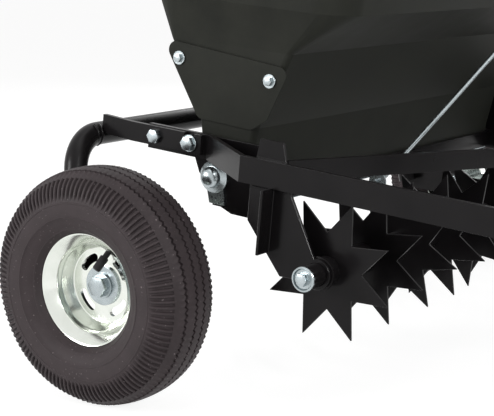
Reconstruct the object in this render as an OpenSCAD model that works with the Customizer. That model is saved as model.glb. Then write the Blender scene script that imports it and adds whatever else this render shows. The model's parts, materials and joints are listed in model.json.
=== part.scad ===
// Tow-behind spike aerator with a drop-seeder hopper, parked on its wheels and hitch foot.
// Right is -X, forward is -Y and up is +Z. Pieces are drawn level about the wheel axle line
// and then leaned nose-down together.

/* [Stance] */
// Nose-down lean of the whole machine when parked, in degrees
body_pitch = 5.5; // [0:0.5:7]

/* [Wheels] */
// Outside diameter of the tyre
tyre_d = 259; // [240:1:280]
// Width of the tyre across its sidewalls
tyre_w = 91; // [80:1:94]
// Thickness of the tyre carcass
tyre_wall = 7; // [5:0.5:10]
// Outside diameter of the rim flange
rim_flange_d = 123; // [114:1:130]
// Width across the two rim flanges
rim_w = 59; // [54:1:62]
// Diameter of the bead seat
rim_seat_d = 101; // [96:1:104]
// Sheet thickness of the rim halves
rim_t = 2.2; // [1.5:0.1:3]
// Depth of the cone that the rim flange falls in
cone_reach = 10; // [8:0.5:11]
// Distance of the rim web inboard of the tyre mid-plane
web_inset = 3; // [2:0.5:5]
// Outside diameter of the hub sleeve
hub_d = 30; // [26:1:34]
// Diameter of the axle bolt
axle_d = 16; // [12:0.5:18]

/* [Wheel frame] */
// Outside diameter of the bent tube
tube_d = 27; // [22:0.5:28]
// Wall of the bent tube
tube_wall = 2; // [1.5:0.1:3]
// Distance of the cross tube behind the wheel axle
tube_back = 118; // [112:1:122]
// Height of the cross tube above the wheel axle
tube_rise = 134; // [128:1:140]
// Centre-line radius of the tube bends
tube_bend_r = 50; // [40:1:60]
// Distance of each leg outboard of the arms beside the hopper
leg_gap = 44; // [42:1:46]
// Distance of each tyre's mid-plane outboard of its leg
wheel_gap = 69; // [67:1:80]
// Forward lean of the legs, in degrees
leg_lean = 18; // [14:1:20]
// Thickness of the axle plates
axle_plate_t = 6; // [4:0.5:7]
// Thickness of the pivot tabs
tab_t = 6; // [4:0.5:8]
// Height of the pivot tabs
tab_h = 22; // [20:1:26]
// Distance of the pivot bolt behind the wheel axle
pivot_back = 24; // [20:1:30]
// Height of the pivot bolt above the wheel axle
pivot_rise = 148; // [142:1:152]
// Distance from the pivot bolt forward to the stop bolt
stop_reach = 48; // [44:1:54]
// Diameter of the pivot and stop bolts
pivot_d = 9.5; // [8:0.5:12]

/* [Drawbar] */
// Height of the flat bar of the arms
arm_h = 28; // [26:1:32]
// Thickness of the arms
arm_t = 6; // [4:0.5:8]
// Outward jog of the arms between the hopper and the reel's ends
jog_w = 65; // [62:1:68]
// Distance of the arms' inward bend ahead of the wheel axle
arm_bend_reach = 480; // [460:5:520]
// Side of the square tongue tube
tongue_w = 40; // [36:1:45]
// Wall of the tongue tube
tongue_wall = 3; // [2:0.25:4]
// Distance of the tongue's front end ahead of the wheel axle
tongue_reach = 930; // [900:5:980]
// Height of the brace bars
brace_h = 22; // [18:1:24]
// Thickness of the brace bars
brace_t = 5; // [4:0.5:6]

/* [Hitch] */
// Inside width of the upright hitch channel
channel_w = 50; // [46:1:56]
// Sheet thickness of the hitch channel
channel_t = 5; // [4:0.5:6]
// Depth of the hitch channel's flanges
channel_depth = 45; // [40:1:50]
// Spacing of the height holes
height_pitch = 34; // [30:1:36]
// Diameter of the hitch pin hole
hitch_pin_d = 16.4; // [13:0.1:20]
// Clear gap between the hitch jaws
jaw_gap = 30; // [24:1:36]
// Reach of the jaws ahead of the channel
jaw_reach = 50; // [40:1:60]

/* [Spike reel] */
// Number of spike discs
disc_count = 11; // [9:2:11]
// Distance from the hangers to the middle of the end discs
disc_end_gap = 19; // [14:1:24]
// Diameter over the spike tips
disc_d = 152; // [140:1:154]
// Diameter at the roots between the spikes
disc_root_d = 80; // [72:1:86]
// Thickness of a disc
disc_t = 3; // [2:0.5:4]
// Number of spikes on a disc
spike_count = 8; // [6:1:10]
// Distance of the reel axis ahead of the wheel axle
reel_reach = 230; // [226:1:236]
// Height of the reel axis above the wheel axle
reel_rise = 53; // [48:1:56]
// Diameter of the reel shaft
reel_shaft_d = 19; // [16:0.5:20]
// Outside diameter of the disc spacers
spacer_d = 32; // [28:1:36]
// Sheet thickness of the reel hangers
hanger_t = 4; // [3:0.5:5]
// Depth of the stiffening lip on a hanger
hanger_lip = 21; // [15:1:23]

/* [Hopper] */
// Length of the hopper between its end walls
hopper_l = 644; // [600:2:690]
// Gap between the hopper's end walls and the side plates
hopper_gap = 12; // [10:1:14]
// Wall of the moulded hopper
hopper_wall = 4; // [3:0.5:5]
// Height of the hopper rim above the wheel axle
hopper_top = 478; // [440:2:520]
// Thickness of the bolted end panels
panel_t = 3; // [2:0.5:4]
// Thickness of the side plates
side_t = 4; // [3:0.5:5]
// Distance of the agitator shaft ahead of the wheel axle
agitator_reach = 53; // [51:1:55]
// Height of the agitator shaft above the wheel axle
agitator_rise = 114; // [112:1:116]
// Diameter of the agitator shaft
agitator_d = 12; // [10:0.5:13]
// Thickness of the metering floor
floor_t = 3; // [2:0.5:4]
// Thickness of the slide gate
gate_t = 2; // [1.5:0.25:3]

/* [Flow control] */
// Diameter of the control rod
rod_d = 5; // [4:0.5:6]
// Length of the lever's short arm
lever_arm = 25; // [22:1:28]
// Length of the lever's handle
handle_l = 170; // [140:5:200]
// Working swing of the lever, in degrees
lever_swing = 28; // [20:1:30]
// Height of the lever pivot above the wheel axle
lever_rise = 420; // [400:5:440]
// Distance of the lever pivot ahead of the wheel axle
lever_reach = 385; // [375:5:395]

/* [Agitator drive] */
// Pitch of the drive chain
chain_pitch = 6.35; // [6:0.05:8]
// Teeth on the agitator sprocket
agitator_teeth = 13; // [11:1:13]
// Teeth on the reel sprocket
reel_teeth = 22; // [20:1:24]

/* [Hidden] */
$fn = 48;

function disc_name(i) = str("spiker_disc_", i < 10 ? "0" : "", i);

// Clearances and the overrun shared by every cut
eps = 1;
run_gap = 0.05;
bolt_gap = 0.2;
face_gap = 0.3;
faces_small = 24;
faces_hull = 32;

// Colours as the machine shows them
paint_black = "#1b1b1c";
poly_grey = "#33342f";
zinc = "#c9ccd0";
rubber_grey = "#2c2a2b";

tyre_r = tyre_d / 2;
tube_r = tube_d / 2;
pivot_r = pivot_d / 2;
axle_r = axle_d / 2;
reel_shaft_r = reel_shaft_d / 2;
agitator_r = agitator_d / 2;

// Places across the machine, from its mid-plane outward
hopper_half = hopper_l / 2;
side_in = hopper_half + hopper_gap;
side_out = side_in + side_t;
arm_rear_x = side_out + arm_t;
arm_front_x = arm_rear_x + jog_w;
leg_x = arm_rear_x + leg_gap;
wheel_x = leg_x + wheel_gap;

// Level places (y, z) of the main axes, from the wheel axle line
pivot_at = [pivot_back, pivot_rise];
stop_at = [pivot_back - stop_reach, pivot_rise];
reel_at = [-reel_reach, reel_rise];
agitator_at = [-agitator_reach, agitator_rise];
tube_at = [tube_back, tube_rise];

// Bolt proportions
head_h_share = 0.6;
head_r_share = 0.87;
nut_h_share = 0.55;
washer_t = 2;
washer_r_share = 1.3;

// Hitch layout
arm_drop = 2;
arm_rise = pivot_rise - arm_drop;
channel_over = 34;
height_edge = 18;
hole_depth_share = 0.45;
channel_front = tongue_reach + channel_t + channel_depth;
channel_top = arm_rise + tongue_w / 2 + channel_over;
height_count = 5;
height_first = channel_top - height_edge;
height_hole_d = 12.4;
hole_back = channel_front - channel_depth * hole_depth_share;
clevis_hole = 1;
jaw_wrap = 12;
jaw_t = (height_pitch + jaw_wrap - jaw_gap) / 2;
jaw_front = channel_front + jaw_reach;
clevis_mid = height_first - (clevis_hole + 0.5) * height_pitch;
clevis_h = jaw_gap + 2 * jaw_t;
frame_y = (jaw_front * cos(body_pitch) + (clevis_mid + clevis_h / 2) * sin(body_pitch) - tyre_r) / 2;

function height_at(k) = [-hole_back, height_first - k * height_pitch];

module at_body() translate([0, frame_y, tyre_r]) rotate([body_pitch, 0, 0]) children();

module on_side(left) {
    if (left) children();
    else mirror([1, 0, 0]) children();
}

// A round bar along X from x0 to x1 at a place (y, z)
module bar_x(at, r, x0, x1, sides = $fn) {
    translate([x0, at[0], at[1]]) rotate([0, 90, 0]) cylinder(r = r, h = x1 - x0, $fn = sides);
}

// A plate across X from x0 to x1, its outline drawn in (y, z)
module plate_x(x0, x1) {
    translate([x0, 0, 0]) rotate([90, 0, 90]) linear_extrude(x1 - x0) children();
}

function unit(v) = v / norm(v);
function square_to(v) = [-v[1], v[0]];
function way(p, i) = unit(p[i + 1] - p[i]);
function mitre(p, i, d) =
    i == 0 ? p[0] + d * square_to(way(p, 0)) :
    i == len(p) - 1 ? p[i] + d * square_to(way(p, i - 1)) :
    let (a = square_to(way(p, i - 1)), m = unit(a + square_to(way(p, i)))) p[i] + m * d / (m * a);

// The plan of a bent flat bar: points are along its middle
module strip(p, t) {
    last = len(p) - 1;
    polygon(concat([for (i = [0 : last]) mitre(p, i, t / 2)],
                   [for (i = [last : -1 : 0]) mitre(p, i, -t / 2)]));
}

// A stud along X from x1 to x0, with its nut inside x0
module stud(at, d, x0, x1) {
    bar_x(at, d / 2, x0, x1, faces_small);
    bar_x(at, d * head_r_share, x0 - d * nut_h_share, x0, 6);
}

// A hex bolt along X: head outside x1, shank to x0, nut inside x0
module hex_bolt(at, d, x0, x1) {
    stud(at, d, x0, x1);
    bar_x(at, d * head_r_share, x1, x1 + d * head_h_share, 6);
}

// Tyres
tyre_axis_share = 0.68;
tyre_power = 2.5;
tyre_steps = 14;
bead_gap = 0.4;
seat_r = rim_seat_d / 2;
bead_r = seat_r + face_gap;
flange_r = rim_flange_d / 2;
section_r = tyre_r * tyre_axis_share;
section_h = tyre_r - section_r;
bulge_from = flange_r + face_gap;
// The lower sidewall is an ellipse that stands a little proud of the flange
bead_proud = 1;
wall_power = 2;
wall_h = (section_r - bulge_from) / sqrt(1 - pow((rim_w / 2 + bead_proud) / (tyre_w / 2), 2));
groove_w = 4;
groove_d = 4;
groove_shares = [-0.36, -0.13, 0.13, 0.36];

function bulge_x(r, grow) =
    let (low = r < section_r, n = low ? wall_power : tyre_power, h = (low ? wall_h : section_h) - grow)
    (tyre_w / 2 - grow) * pow(max(0, 1 - pow(abs(r - section_r) / h, n)), 1 / n);
function radius_step(k, from, to) = from + (to - from) * sin(90 * k / tyre_steps);
// Half width between the two flange cones at a radius, on the bead's side
function cone_x(r) = rim_w / 2 - rim_t - cone_reach * (flange_r - r) / (flange_r - seat_r);

module tyre_outline() {
    side = [for (k = [0 : tyre_steps]) let (r = radius_step(k, bulge_from, tyre_r)) [r, bulge_x(r, 0)]];
    half = concat([for (r = [bead_r, bulge_from]) [r, cone_x(r) - bead_gap]], side);
    polygon(concat(half, [for (i = [len(half) - 1 : -1 : 0]) [half[i][0], -half[i][1]]]));
}

module tyre_cavity() {
    top = tyre_r - tyre_wall;
    low = bulge_from + tyre_wall;
    side = [for (k = [0 : tyre_steps]) let (r = radius_step(k, low, top)) [r, bulge_x(r, tyre_wall)]];
    half = concat([for (r = [bead_r - eps, bulge_from]) [r, cone_x(r) - tyre_wall]], side);
    polygon(concat(half, [for (i = [len(half) - 1 : -1 : 0]) [half[i][0], -half[i][1]]]));
}

module tyre(left) {
    color(rubber_grey) at_body() on_side(left) translate([wheel_x, 0, 0]) rotate([0, 90, 0])
        rotate_extrude($fn = 96) difference() {
            tyre_outline();
            tyre_cavity();
            for (s = groove_shares)
                translate([tyre_r - groove_d, s * tyre_w - groove_w / 2]) square([groove_d + eps, groove_w]);
        }
}

// Rims: two pressed halves that meet at the web
flange_lip = 1;
seat_w = 7.5;
seat_taper = 6.5;
web_slot_count = 4;
web_slot_r = 31;
web_slot_d = 9;
web_slot_sweep = 34;

module rim_half(outer_x, web_x) {
    turn = outer_x > web_x ? 1 : -1;
    bore = hub_d / 2 + run_gap;
    seat_end = turn * (cone_x(seat_r) - seat_w);
    rotate_extrude($fn = 96) polygon([
        [flange_r, outer_x], [flange_r, turn * cone_x(flange_r)], [seat_r, turn * cone_x(seat_r)],
        [seat_r, seat_end], [seat_r - seat_taper, web_x], [bore, web_x],
        [bore, web_x + turn * rim_t], [seat_r - seat_taper - rim_t, web_x + turn * rim_t],
        [seat_r - rim_t, seat_end + turn * rim_t], [seat_r - rim_t, outer_x - turn * cone_reach],
        [flange_r - flange_lip, outer_x]]);
}

module web_slots() {
    for (k = [0 : web_slot_count - 1]) rotate(360 * k / web_slot_count)
        for (a = [-1, 0, 1]) rotate(a * web_slot_sweep / 2)
            translate([web_slot_r, 0, -web_inset - rim_t - eps])
                cylinder(d = web_slot_d, h = 2 * (rim_t + eps), $fn = faces_small);
}

module rim_halves(left) {
    color(zinc) at_body() on_side(left) translate([wheel_x, 0, 0]) rotate([0, 90, 0]) difference() {
        union() {
            rim_half(rim_w / 2, -web_inset);
            rim_half(-rim_w / 2, -web_inset);
        }
        web_slots();
    }
}

// Hubs run on the axle bolts
hub_flange_r = 22;
hub_flange_t = 3;
hub_out = hub_flange_t + rim_t - web_inset;
plate_out = leg_x + tube_r + axle_plate_t;
hub_in = wheel_x - plate_out - face_gap;

module hub(left) {
    color(zinc) at_body() on_side(left) translate([wheel_x, 0, 0]) rotate([0, 90, 0]) difference() {
        union() {
            translate([0, 0, -hub_in]) cylinder(d = hub_d, h = hub_in + hub_out);
            translate([0, 0, -web_inset + rim_t]) cylinder(r = hub_flange_r, h = hub_flange_t);
        }
        translate([0, 0, -hub_in - eps]) cylinder(r = axle_r + run_gap, h = hub_in + hub_out + 2 * eps);
    }
}

// Valve stem through the rim barrel, near the top of the wheel
valve_d = 8;
valve_l = 30;
valve_base_r = 50;
valve_neck_share = 0.8;
valve_tilt = 40;
valve_lean = 12;

module valve(left) {
    seat_end = cone_x(seat_r) - seat_w + rim_t;
    web_face = rim_t - web_inset;
    flange_end = rim_w / 2;
    color(rubber_grey) at_body() on_side(left) translate([wheel_x, 0, 0]) intersection() {
        rotate([valve_lean, 0, 0]) translate([0, 0, valve_base_r]) rotate([0, 180 - valve_tilt, 0]) union() {
            cylinder(d = valve_d * valve_neck_share, h = valve_l, $fn = faces_small);
            translate([0, 0, valve_l / 2]) cylinder(d = valve_d, h = valve_l / 2, $fn = faces_small);
        }
        rotate([0, 90, 0]) rotate_extrude() polygon([
            [0, web_face], [seat_r - seat_taper - rim_t, web_face], [seat_r - rim_t, seat_end],
            [seat_r - rim_t, flange_end], [0, flange_end]]);
    }
}

// Axle bolts through the axle plates
axle_head_h = 8;
axle_head_share = 1.5;
axle_washer_share = 1.75;

module axle_bolts() {
    color(zinc) at_body() for (left = [false, true]) on_side(left) {
        hub_end = wheel_x + hub_out + face_gap;
        plate_in = plate_out - axle_plate_t;
        bar_x([0, 0], axle_r, plate_in, hub_end + washer_t + axle_head_h);
        bar_x([0, 0], axle_r * axle_head_share, plate_in - axle_head_h, plate_in, 6);
        bar_x([0, 0], axle_r * axle_washer_share, hub_end, hub_end + washer_t);
        bar_x([0, 0], axle_r * axle_head_share, hub_end + washer_t, hub_end + washer_t + axle_head_h, 6);
    }
}

// Wheel frame: a cross tube bent down into a leg at each end
leg_past = 10;
leg_drop = tube_rise + leg_past;
leg_run = leg_drop / cos(leg_lean) - tube_bend_r;

module tube_ring() {
    difference() {
        circle(tube_r);
        circle(tube_r - tube_wall);
    }
}

module wheel_tube() {
    cross = leg_x - tube_bend_r;
    color(paint_black) at_body() for (left = [false, true]) on_side(left)
        translate([cross, tube_back, tube_rise]) rotate([-leg_lean, 0, 0]) {
            rotate([0, -90, 0]) linear_extrude(cross) tube_ring();
            translate([0, 0, -tube_bend_r]) rotate([90, 0, 0]) rotate_extrude(angle = 90)
                translate([tube_bend_r, 0]) tube_ring();
            translate([tube_bend_r, 0, -tube_bend_r - leg_run]) linear_extrude(leg_run) tube_ring();
        }
}

// Axle plates join the legs to the axle bolts
plate_round = 22;
leg_foot = [tube_back - leg_drop * tan(leg_lean), tube_rise - leg_drop];
leg_knee_share = 0.45;
leg_knee = tube_at + leg_knee_share * (leg_foot - tube_at);

module axle_plate(left) {
    color(paint_black) at_body() on_side(left) difference() {
        plate_x(plate_out - axle_plate_t, plate_out) hull() {
            circle(plate_round, $fn = faces_hull);
            translate(leg_foot) circle(tube_r, $fn = faces_hull);
            translate(leg_knee) circle(tube_r, $fn = faces_hull);
        }
        bar_x([0, 0], axle_r + run_gap, plate_out - axle_plate_t - eps, plate_out + eps);
    }
}

// Pivot tabs: bent plates from the cross tube to the arms, notched over the stop bolt
tab_in = arm_rear_x + face_gap;
tab_mid = tab_in + tab_t / 2;
tab_flare = 8;
tab_bend_back = 58;
tab_nose = 15;
notch_r = pivot_r + bolt_gap;
notch_wide = 3;

module pivot_tab(left) {
    middle = [[tab_mid, stop_at[0] - tab_nose], [tab_mid, tab_bend_back],
              [tab_mid - tab_flare, tube_back - tube_r + tube_wall]];
    color(paint_black) at_body() on_side(left) difference() {
        translate([0, 0, pivot_rise - tab_h / 2]) linear_extrude(tab_h) strip(middle, tab_t);
        bar_x(tube_at, tube_r, 0, arm_front_x);
        bar_x(pivot_at, pivot_r + run_gap, tab_in - eps, tab_in + tab_t + eps);
        bar_x(stop_at, notch_r, tab_in - eps, tab_in + tab_t + eps);
        translate([tab_in - eps, stop_at[0] - notch_r, stop_at[1]])
            cube([tab_t + 2 * eps, 2 * notch_r + notch_wide, tab_h]);
    }
}

// Pivot and stop bolts hold the arms to the side plates
module pivot_bolts() {
    color(zinc) at_body() for (left = [false, true]) on_side(left) {
        hex_bolt(pivot_at, pivot_d, side_in, tab_in + tab_t + face_gap);
        hex_bolt(stop_at, pivot_d, side_in, tab_in + tab_t + face_gap);
    }
}

// Arms: flat bars that jog outward past the tyres and meet the tongue in front
arm_tail = 14;
jog_from = 44;
jog_to = 132;
arm_lap = 60;
arm_meet_back = 90;
arm_meet = tongue_reach - arm_meet_back;
lap_bolt_share = 0.65;
hanger_bolt_d = 10;
hanger_bolt_reach = 166;
hanger_bolt_lift = 6;
hanger_bolt_at = [-hanger_bolt_reach, arm_rise + hanger_bolt_lift];
tongue_bolt_d = 10;
arm_bolt_at = [-arm_meet - arm_lap * lap_bolt_share, arm_rise];

function arm_plan() = [
    [arm_rear_x - arm_t / 2, pivot_back + arm_tail], [arm_rear_x - arm_t / 2, -jog_from],
    [arm_front_x - arm_t / 2, -jog_to], [arm_front_x - arm_t / 2, -arm_bend_reach],
    [tongue_w / 2 + arm_t / 2, -arm_meet], [tongue_w / 2 + arm_t / 2, -arm_meet - arm_lap]];

module arm(left) {
    color(paint_black) at_body() on_side(left) difference() {
        translate([0, 0, arm_rise - arm_h / 2]) linear_extrude(arm_h) strip(arm_plan(), arm_t);
        bar_x(pivot_at, pivot_r + run_gap, side_out - eps, arm_rear_x + eps);
        bar_x(stop_at, pivot_r + run_gap, side_out - eps, arm_rear_x + eps);
        bar_x(arm_bolt_at, tongue_bolt_d / 2 + run_gap, 0, tongue_w);
    }
}

// Braces run from the hangers inward and forward to the tongue
hanger_out = arm_front_x - arm_t;
hanger_in = hanger_out - hanger_t;
brace_lift = 5;
brace_rise = arm_rise + brace_lift;
brace_from = 152;
brace_bend = 182;
brace_lap = 34;
post_w = 30;
post_gap = 8;
brace_meet = lever_reach - post_w / 2 - post_gap - brace_lap;
brace_bolt_at = [-brace_meet - brace_lap * lap_bolt_share, brace_rise];

function brace_plan() = [
    [hanger_in - brace_t / 2, -brace_from], [hanger_in - brace_t / 2, -brace_bend],
    [tongue_w / 2 + brace_t / 2, -brace_meet], [tongue_w / 2 + brace_t / 2, -brace_meet - brace_lap]];

module brace(left) {
    color(paint_black) at_body() on_side(left) difference() {
        translate([0, 0, brace_rise - brace_h / 2]) linear_extrude(brace_h) strip(brace_plan(), brace_t);
        bar_x(hanger_bolt_at, hanger_bolt_d / 2 + run_gap, hanger_in - brace_t - eps, hanger_in + eps);
        bar_x(brace_bolt_at, tongue_bolt_d / 2 + run_gap, 0, tongue_w);
    }
}

// Tongue: a square tube from the brace ends to the hitch channel
tongue_tail = 8;
tongue_from = brace_meet - tongue_tail;
tongue_bore = tongue_w - 2 * tongue_wall;

module tongue() {
    color(paint_black) at_body() difference() {
        translate([-tongue_w / 2, -tongue_reach, arm_rise - tongue_w / 2])
            cube([tongue_w, tongue_reach - tongue_from, tongue_w]);
        translate([-tongue_bore / 2, -tongue_reach - eps, arm_rise - tongue_bore / 2])
            cube([tongue_bore, tongue_reach - tongue_from + 2 * eps, tongue_bore]);
        for (at = [arm_bolt_at, brace_bolt_at, post_bolt_at])
            bar_x(at, tongue_bolt_d / 2 + run_gap, -tongue_w, tongue_w);
    }
}

module drawbar_bolts() {
    color(zinc) at_body() {
        for (left = [false, true]) on_side(left)
            stud(hanger_bolt_at, hanger_bolt_d, hanger_in - brace_t, hanger_out);
        hex_bolt(arm_bolt_at, tongue_bolt_d, -tongue_w / 2 - arm_t, tongue_w / 2 + arm_t);
        hex_bolt(brace_bolt_at, tongue_bolt_d, -tongue_w / 2 - brace_t, tongue_w / 2 + brace_t);
        hex_bolt(post_bolt_at, tongue_bolt_d, -tongue_w / 2 - post_t, tongue_w / 2);
        mirror([1, 0, 0]) hex_bolt(lever_at, lever_bolt_d, tongue_w / 2, lever_x + lever_t + face_gap);
    }
}

// Hitch channel: an upright channel on the tongue's end, with height holes, standing on the floor
channel_low = -tyre_r;

module hitch_channel() {
    floor_size = 2 * tongue_reach;
    color(paint_black) difference() {
        at_body() difference() {
            translate([-channel_w / 2 - channel_t, -channel_front, channel_low])
                cube([channel_w + 2 * channel_t, channel_front - tongue_reach, channel_top - channel_low]);
            translate([-channel_w / 2, -channel_front - eps, channel_low - eps])
                cube([channel_w, channel_depth + eps, channel_top - channel_low + 2 * eps]);
            for (k = [0 : height_count - 1])
                bar_x(height_at(k), height_hole_d / 2, -channel_w, channel_w);
        }
        translate([-floor_size / 2, -floor_size / 2, -floor_size]) cube(floor_size);
    }
}

// Hitch clevis: two jaws on a back block, bolted between the channel's flanges
clevis_w = channel_w - 2 * bolt_gap;
clevis_back = hole_back - height_hole_d;

module hitch_clevis() {
    color(paint_black) at_body() difference() {
        union() {
            translate([-clevis_w / 2, -jaw_front + clevis_w / 2, clevis_mid - clevis_h / 2])
                cube([clevis_w, jaw_front - clevis_w / 2 - clevis_back, clevis_h]);
            translate([0, -jaw_front + clevis_w / 2, clevis_mid - clevis_h / 2])
                cylinder(d = clevis_w, h = clevis_h);
        }
        translate([-clevis_w, -jaw_front - eps, clevis_mid - jaw_gap / 2])
            cube([2 * clevis_w, jaw_front - channel_front + eps, jaw_gap]);
        translate([0, -jaw_front + clevis_w / 2, clevis_mid - clevis_h])
            cylinder(d = hitch_pin_d, h = 2 * clevis_h);
        for (k = [0, 1]) bar_x(height_at(clevis_hole + k), height_hole_d / 2, -channel_w, channel_w);
    }
}

module hitch_bolts() {
    reach = channel_w / 2 + channel_t;
    color(zinc) at_body() for (k = [0, 1])
        hex_bolt(height_at(clevis_hole + k), height_hole_d - 2 * bolt_gap, -reach, reach);
}

// Hangers: tapered plates under the arms that carry the reel
hanger_boss_r = 16;
lip_t = 3;
lip_back = 170;
lip_low = 64;
bearing_d = 24;
bearing_flange_d = 36;
bearing_flange_t = 4;

hanger_over = 20;
hanger_top = arm_rise + arm_h / 2 + hanger_over;
arm_low = arm_rise - arm_h / 2;
// Reach of the hanger's edges from its bolt: at the top, and where it leaves the arm
hanger_top_rear = 16;
hanger_top_front = 12;
hanger_waist = 24;
// Where the boss runs into the straight edges, as shares of its radius (forward, up)
boss_front_shares = [0.02, 0.48];
boss_rear_shares = [-0.8, -0.6];
// Rear edge: its toe as shares of the boss radius and of the way back, and its corner's share of the rise
toe_drop_share = 0.72;
toe_back_share = 0.49;
heel_rise_share = 0.5;
hanger_rear = hanger_waist - hanger_bolt_reach;
hanger_outline = [
    [hanger_top_rear - hanger_bolt_reach, hanger_top], [-hanger_top_front - hanger_bolt_reach, hanger_top],
    [-hanger_waist - hanger_bolt_reach, arm_low],
    [-reel_reach - hanger_boss_r * boss_front_shares[0], reel_rise + hanger_boss_r * boss_front_shares[1]],
    [-reel_reach - hanger_boss_r * boss_rear_shares[0], reel_rise + hanger_boss_r * boss_rear_shares[1]],
    [-reel_reach + (reel_reach + hanger_rear) * toe_back_share, reel_rise - hanger_boss_r * toe_drop_share],
    [hanger_rear, reel_rise + (arm_low - reel_rise) * heel_rise_share], [hanger_rear, arm_low]];

module hanger(left) {
    color(paint_black) at_body() on_side(left) difference() {
        union() {
            plate_x(hanger_in, hanger_out) polygon(hanger_outline);
            bar_x(reel_at, hanger_boss_r, hanger_in, hanger_out);
            translate([hanger_out, -lip_back - lip_t / 2, lip_low])
                cube([hanger_lip, lip_t, arm_low - lip_low]);
        }
        bar_x(reel_at, bearing_d / 2 + run_gap, hanger_in - eps, hanger_out + eps);
        bar_x(hanger_bolt_at, hanger_bolt_d / 2 + run_gap, hanger_in - eps, hanger_out + eps);
    }
}

module reel_bearing(left) {
    color(paint_black) at_body() on_side(left) difference() {
        union() {
            bar_x(reel_at, bearing_d / 2, hanger_in - bearing_flange_t, reel_half - face_gap);
            bar_x(reel_at, bearing_flange_d / 2, hanger_in - bearing_flange_t, hanger_in);
        }
        bar_x(reel_at, reel_shaft_r + run_gap, hanger_in - bearing_flange_t - eps, reel_half);
    }
}

// Reel: shaft, spacers, star discs and end bolts turn together
reel_past = 17;
reel_half = arm_front_x + reel_past;
reel_span = 2 * (hanger_in - disc_end_gap);
disc_pitch = reel_span / (disc_count - 1);
disc_turns = [0, -2, -9, -5, 9, -12, 4, -7, 6, -3, 8];
disc_phase = -28;
sprocket_gap = 5.8;
sprocket_x = side_out + sprocket_gap;
sprocket_t = 2;

function disc_x(i) = -reel_span / 2 + (i - 1) * disc_pitch;

module reel_shaft() {
    color(zinc) at_body() bar_x(reel_at, reel_shaft_r, -reel_half, reel_half);
}

module spiker_disc(i) {
    tip = disc_d / 2;
    root = disc_root_d / 2;
    step = 180 / spike_count;
    x0 = disc_x(i) - disc_t / 2;
    color(paint_black) at_body() difference() {
        plate_x(x0, x0 + disc_t) translate(reel_at) rotate(disc_phase + disc_turns[(i - 1) % len(disc_turns)])
            polygon([for (k = [0 : 2 * spike_count - 1])
                let (r = k % 2 == 0 ? tip : root) [r * cos(k * step), r * sin(k * step)]]);
        bar_x(reel_at, reel_shaft_r + run_gap, x0 - eps, x0 + disc_t + eps);
    }
}

module spacer(x0, x1) {
    difference() {
        bar_x(reel_at, spacer_d / 2, x0, x1);
        bar_x(reel_at, reel_shaft_r + run_gap, x0 - eps, x1 + eps);
    }
}

module disc_spacers() {
    bearing_face = hanger_in - bearing_flange_t - face_gap;
    color(paint_black) at_body() {
        for (i = [1 : disc_count - 2]) spacer(disc_x(i) + disc_t / 2, disc_x(i + 1) - disc_t / 2);
        spacer(disc_x(disc_count - 1) + disc_t / 2, sprocket_x - sprocket_t / 2);
        spacer(sprocket_x + sprocket_t / 2, disc_x(disc_count) - disc_t / 2);
        spacer(reel_span / 2 + disc_t / 2, bearing_face);
        spacer(-bearing_face, -reel_span / 2 - disc_t / 2);
    }
}

module reel_end_bolts() {
    end_washer_r = 13;
    end_washer_t = 2.5;
    end_bolt_d = 8;
    color(zinc) at_body() for (left = [false, true]) on_side(left) {
        bar_x(reel_at, end_washer_r, reel_half, reel_half + end_washer_t);
        bar_x(reel_at, end_bolt_d * head_r_share, reel_half + end_washer_t,
              reel_half + end_washer_t + end_bolt_d * head_h_share, 6);
    }
}

// Hopper: a moulded trough, narrow below and flared above
top_flare = 12;
rim_flare = 18;
floor_top = 84;
throat_h = 30;
throat_front = 82;
throat_rear = -24;
throat_taper = 18;
waist_rise = 172;
bin_rise = 258;
belly_rise = 306;
rim_lip = 14;
rim_lip_t = 6;
low_corner_r = 7;
top_corner_r = 42;
// How far the walls stand out from the throat at the waist, the bin, the belly and the rim
front_swells = [10, 46, 112, 122];
rear_swells = [10, 58, 90, 118];
bin_front = -throat_front - front_swells[1];
bin_rear = throat_rear + rear_swells[1];
foot_rear = throat_rear - throat_taper;
// Levels of the shell: height, front, rear, half length and corner radius
function level(z, k, half, r) =
    [z, -throat_front - (k < 0 ? 0 : front_swells[k]), throat_rear + (k < 0 ? 0 : rear_swells[k]), half, r];
levels = [
    [floor_top, -throat_front, foot_rear, hopper_half, low_corner_r],
    level(floor_top + throat_h, -1, hopper_half, low_corner_r),
    level(waist_rise, 0, hopper_half, low_corner_r),
    level(bin_rise, 1, hopper_half, low_corner_r),
    level(belly_rise, 2, hopper_half + top_flare, top_corner_r),
    level(hopper_top, 3, hopper_half + rim_flare, top_corner_r)];

module slice(v, grow, z) {
    r = max(v[4] + grow, low_corner_r / 2);
    translate([0, 0, z]) linear_extrude(slice_t)
        for (x = [-1, 1], y = [v[1] - grow + r, v[2] + grow - r])
            translate([x * (v[3] + grow - r), y]) circle(r, $fn = faces_small);
}
slice_t = 0.02;

module shell_solid(grow, low, high) {
    for (i = [0 : len(levels) - 2]) hull() {
        slice(levels[i], grow, levels[i][0] - (i == 0 ? low : 0));
        slice(levels[i + 1], grow, levels[i + 1][0] + (i == len(levels) - 2 ? high : 0) - slice_t);
    }
}

module hopper_shell() {
    rim = levels[len(levels) - 1];
    color(poly_grey) at_body() difference() {
        union() {
            shell_solid(0, 0, 0);
            hull() {
                slice(rim, rim_lip, hopper_top - rim_lip_t);
                slice(rim, rim_lip, hopper_top - slice_t);
            }
        }
        shell_solid(-hopper_wall, eps, eps);
        bar_x(agitator_at, agitator_r + face_gap, -hopper_l, hopper_l);
    }
}

// End panels: flat plates bolted over the hopper's ends
panel_round = 10;
panel_bolt_d = 6;
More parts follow.
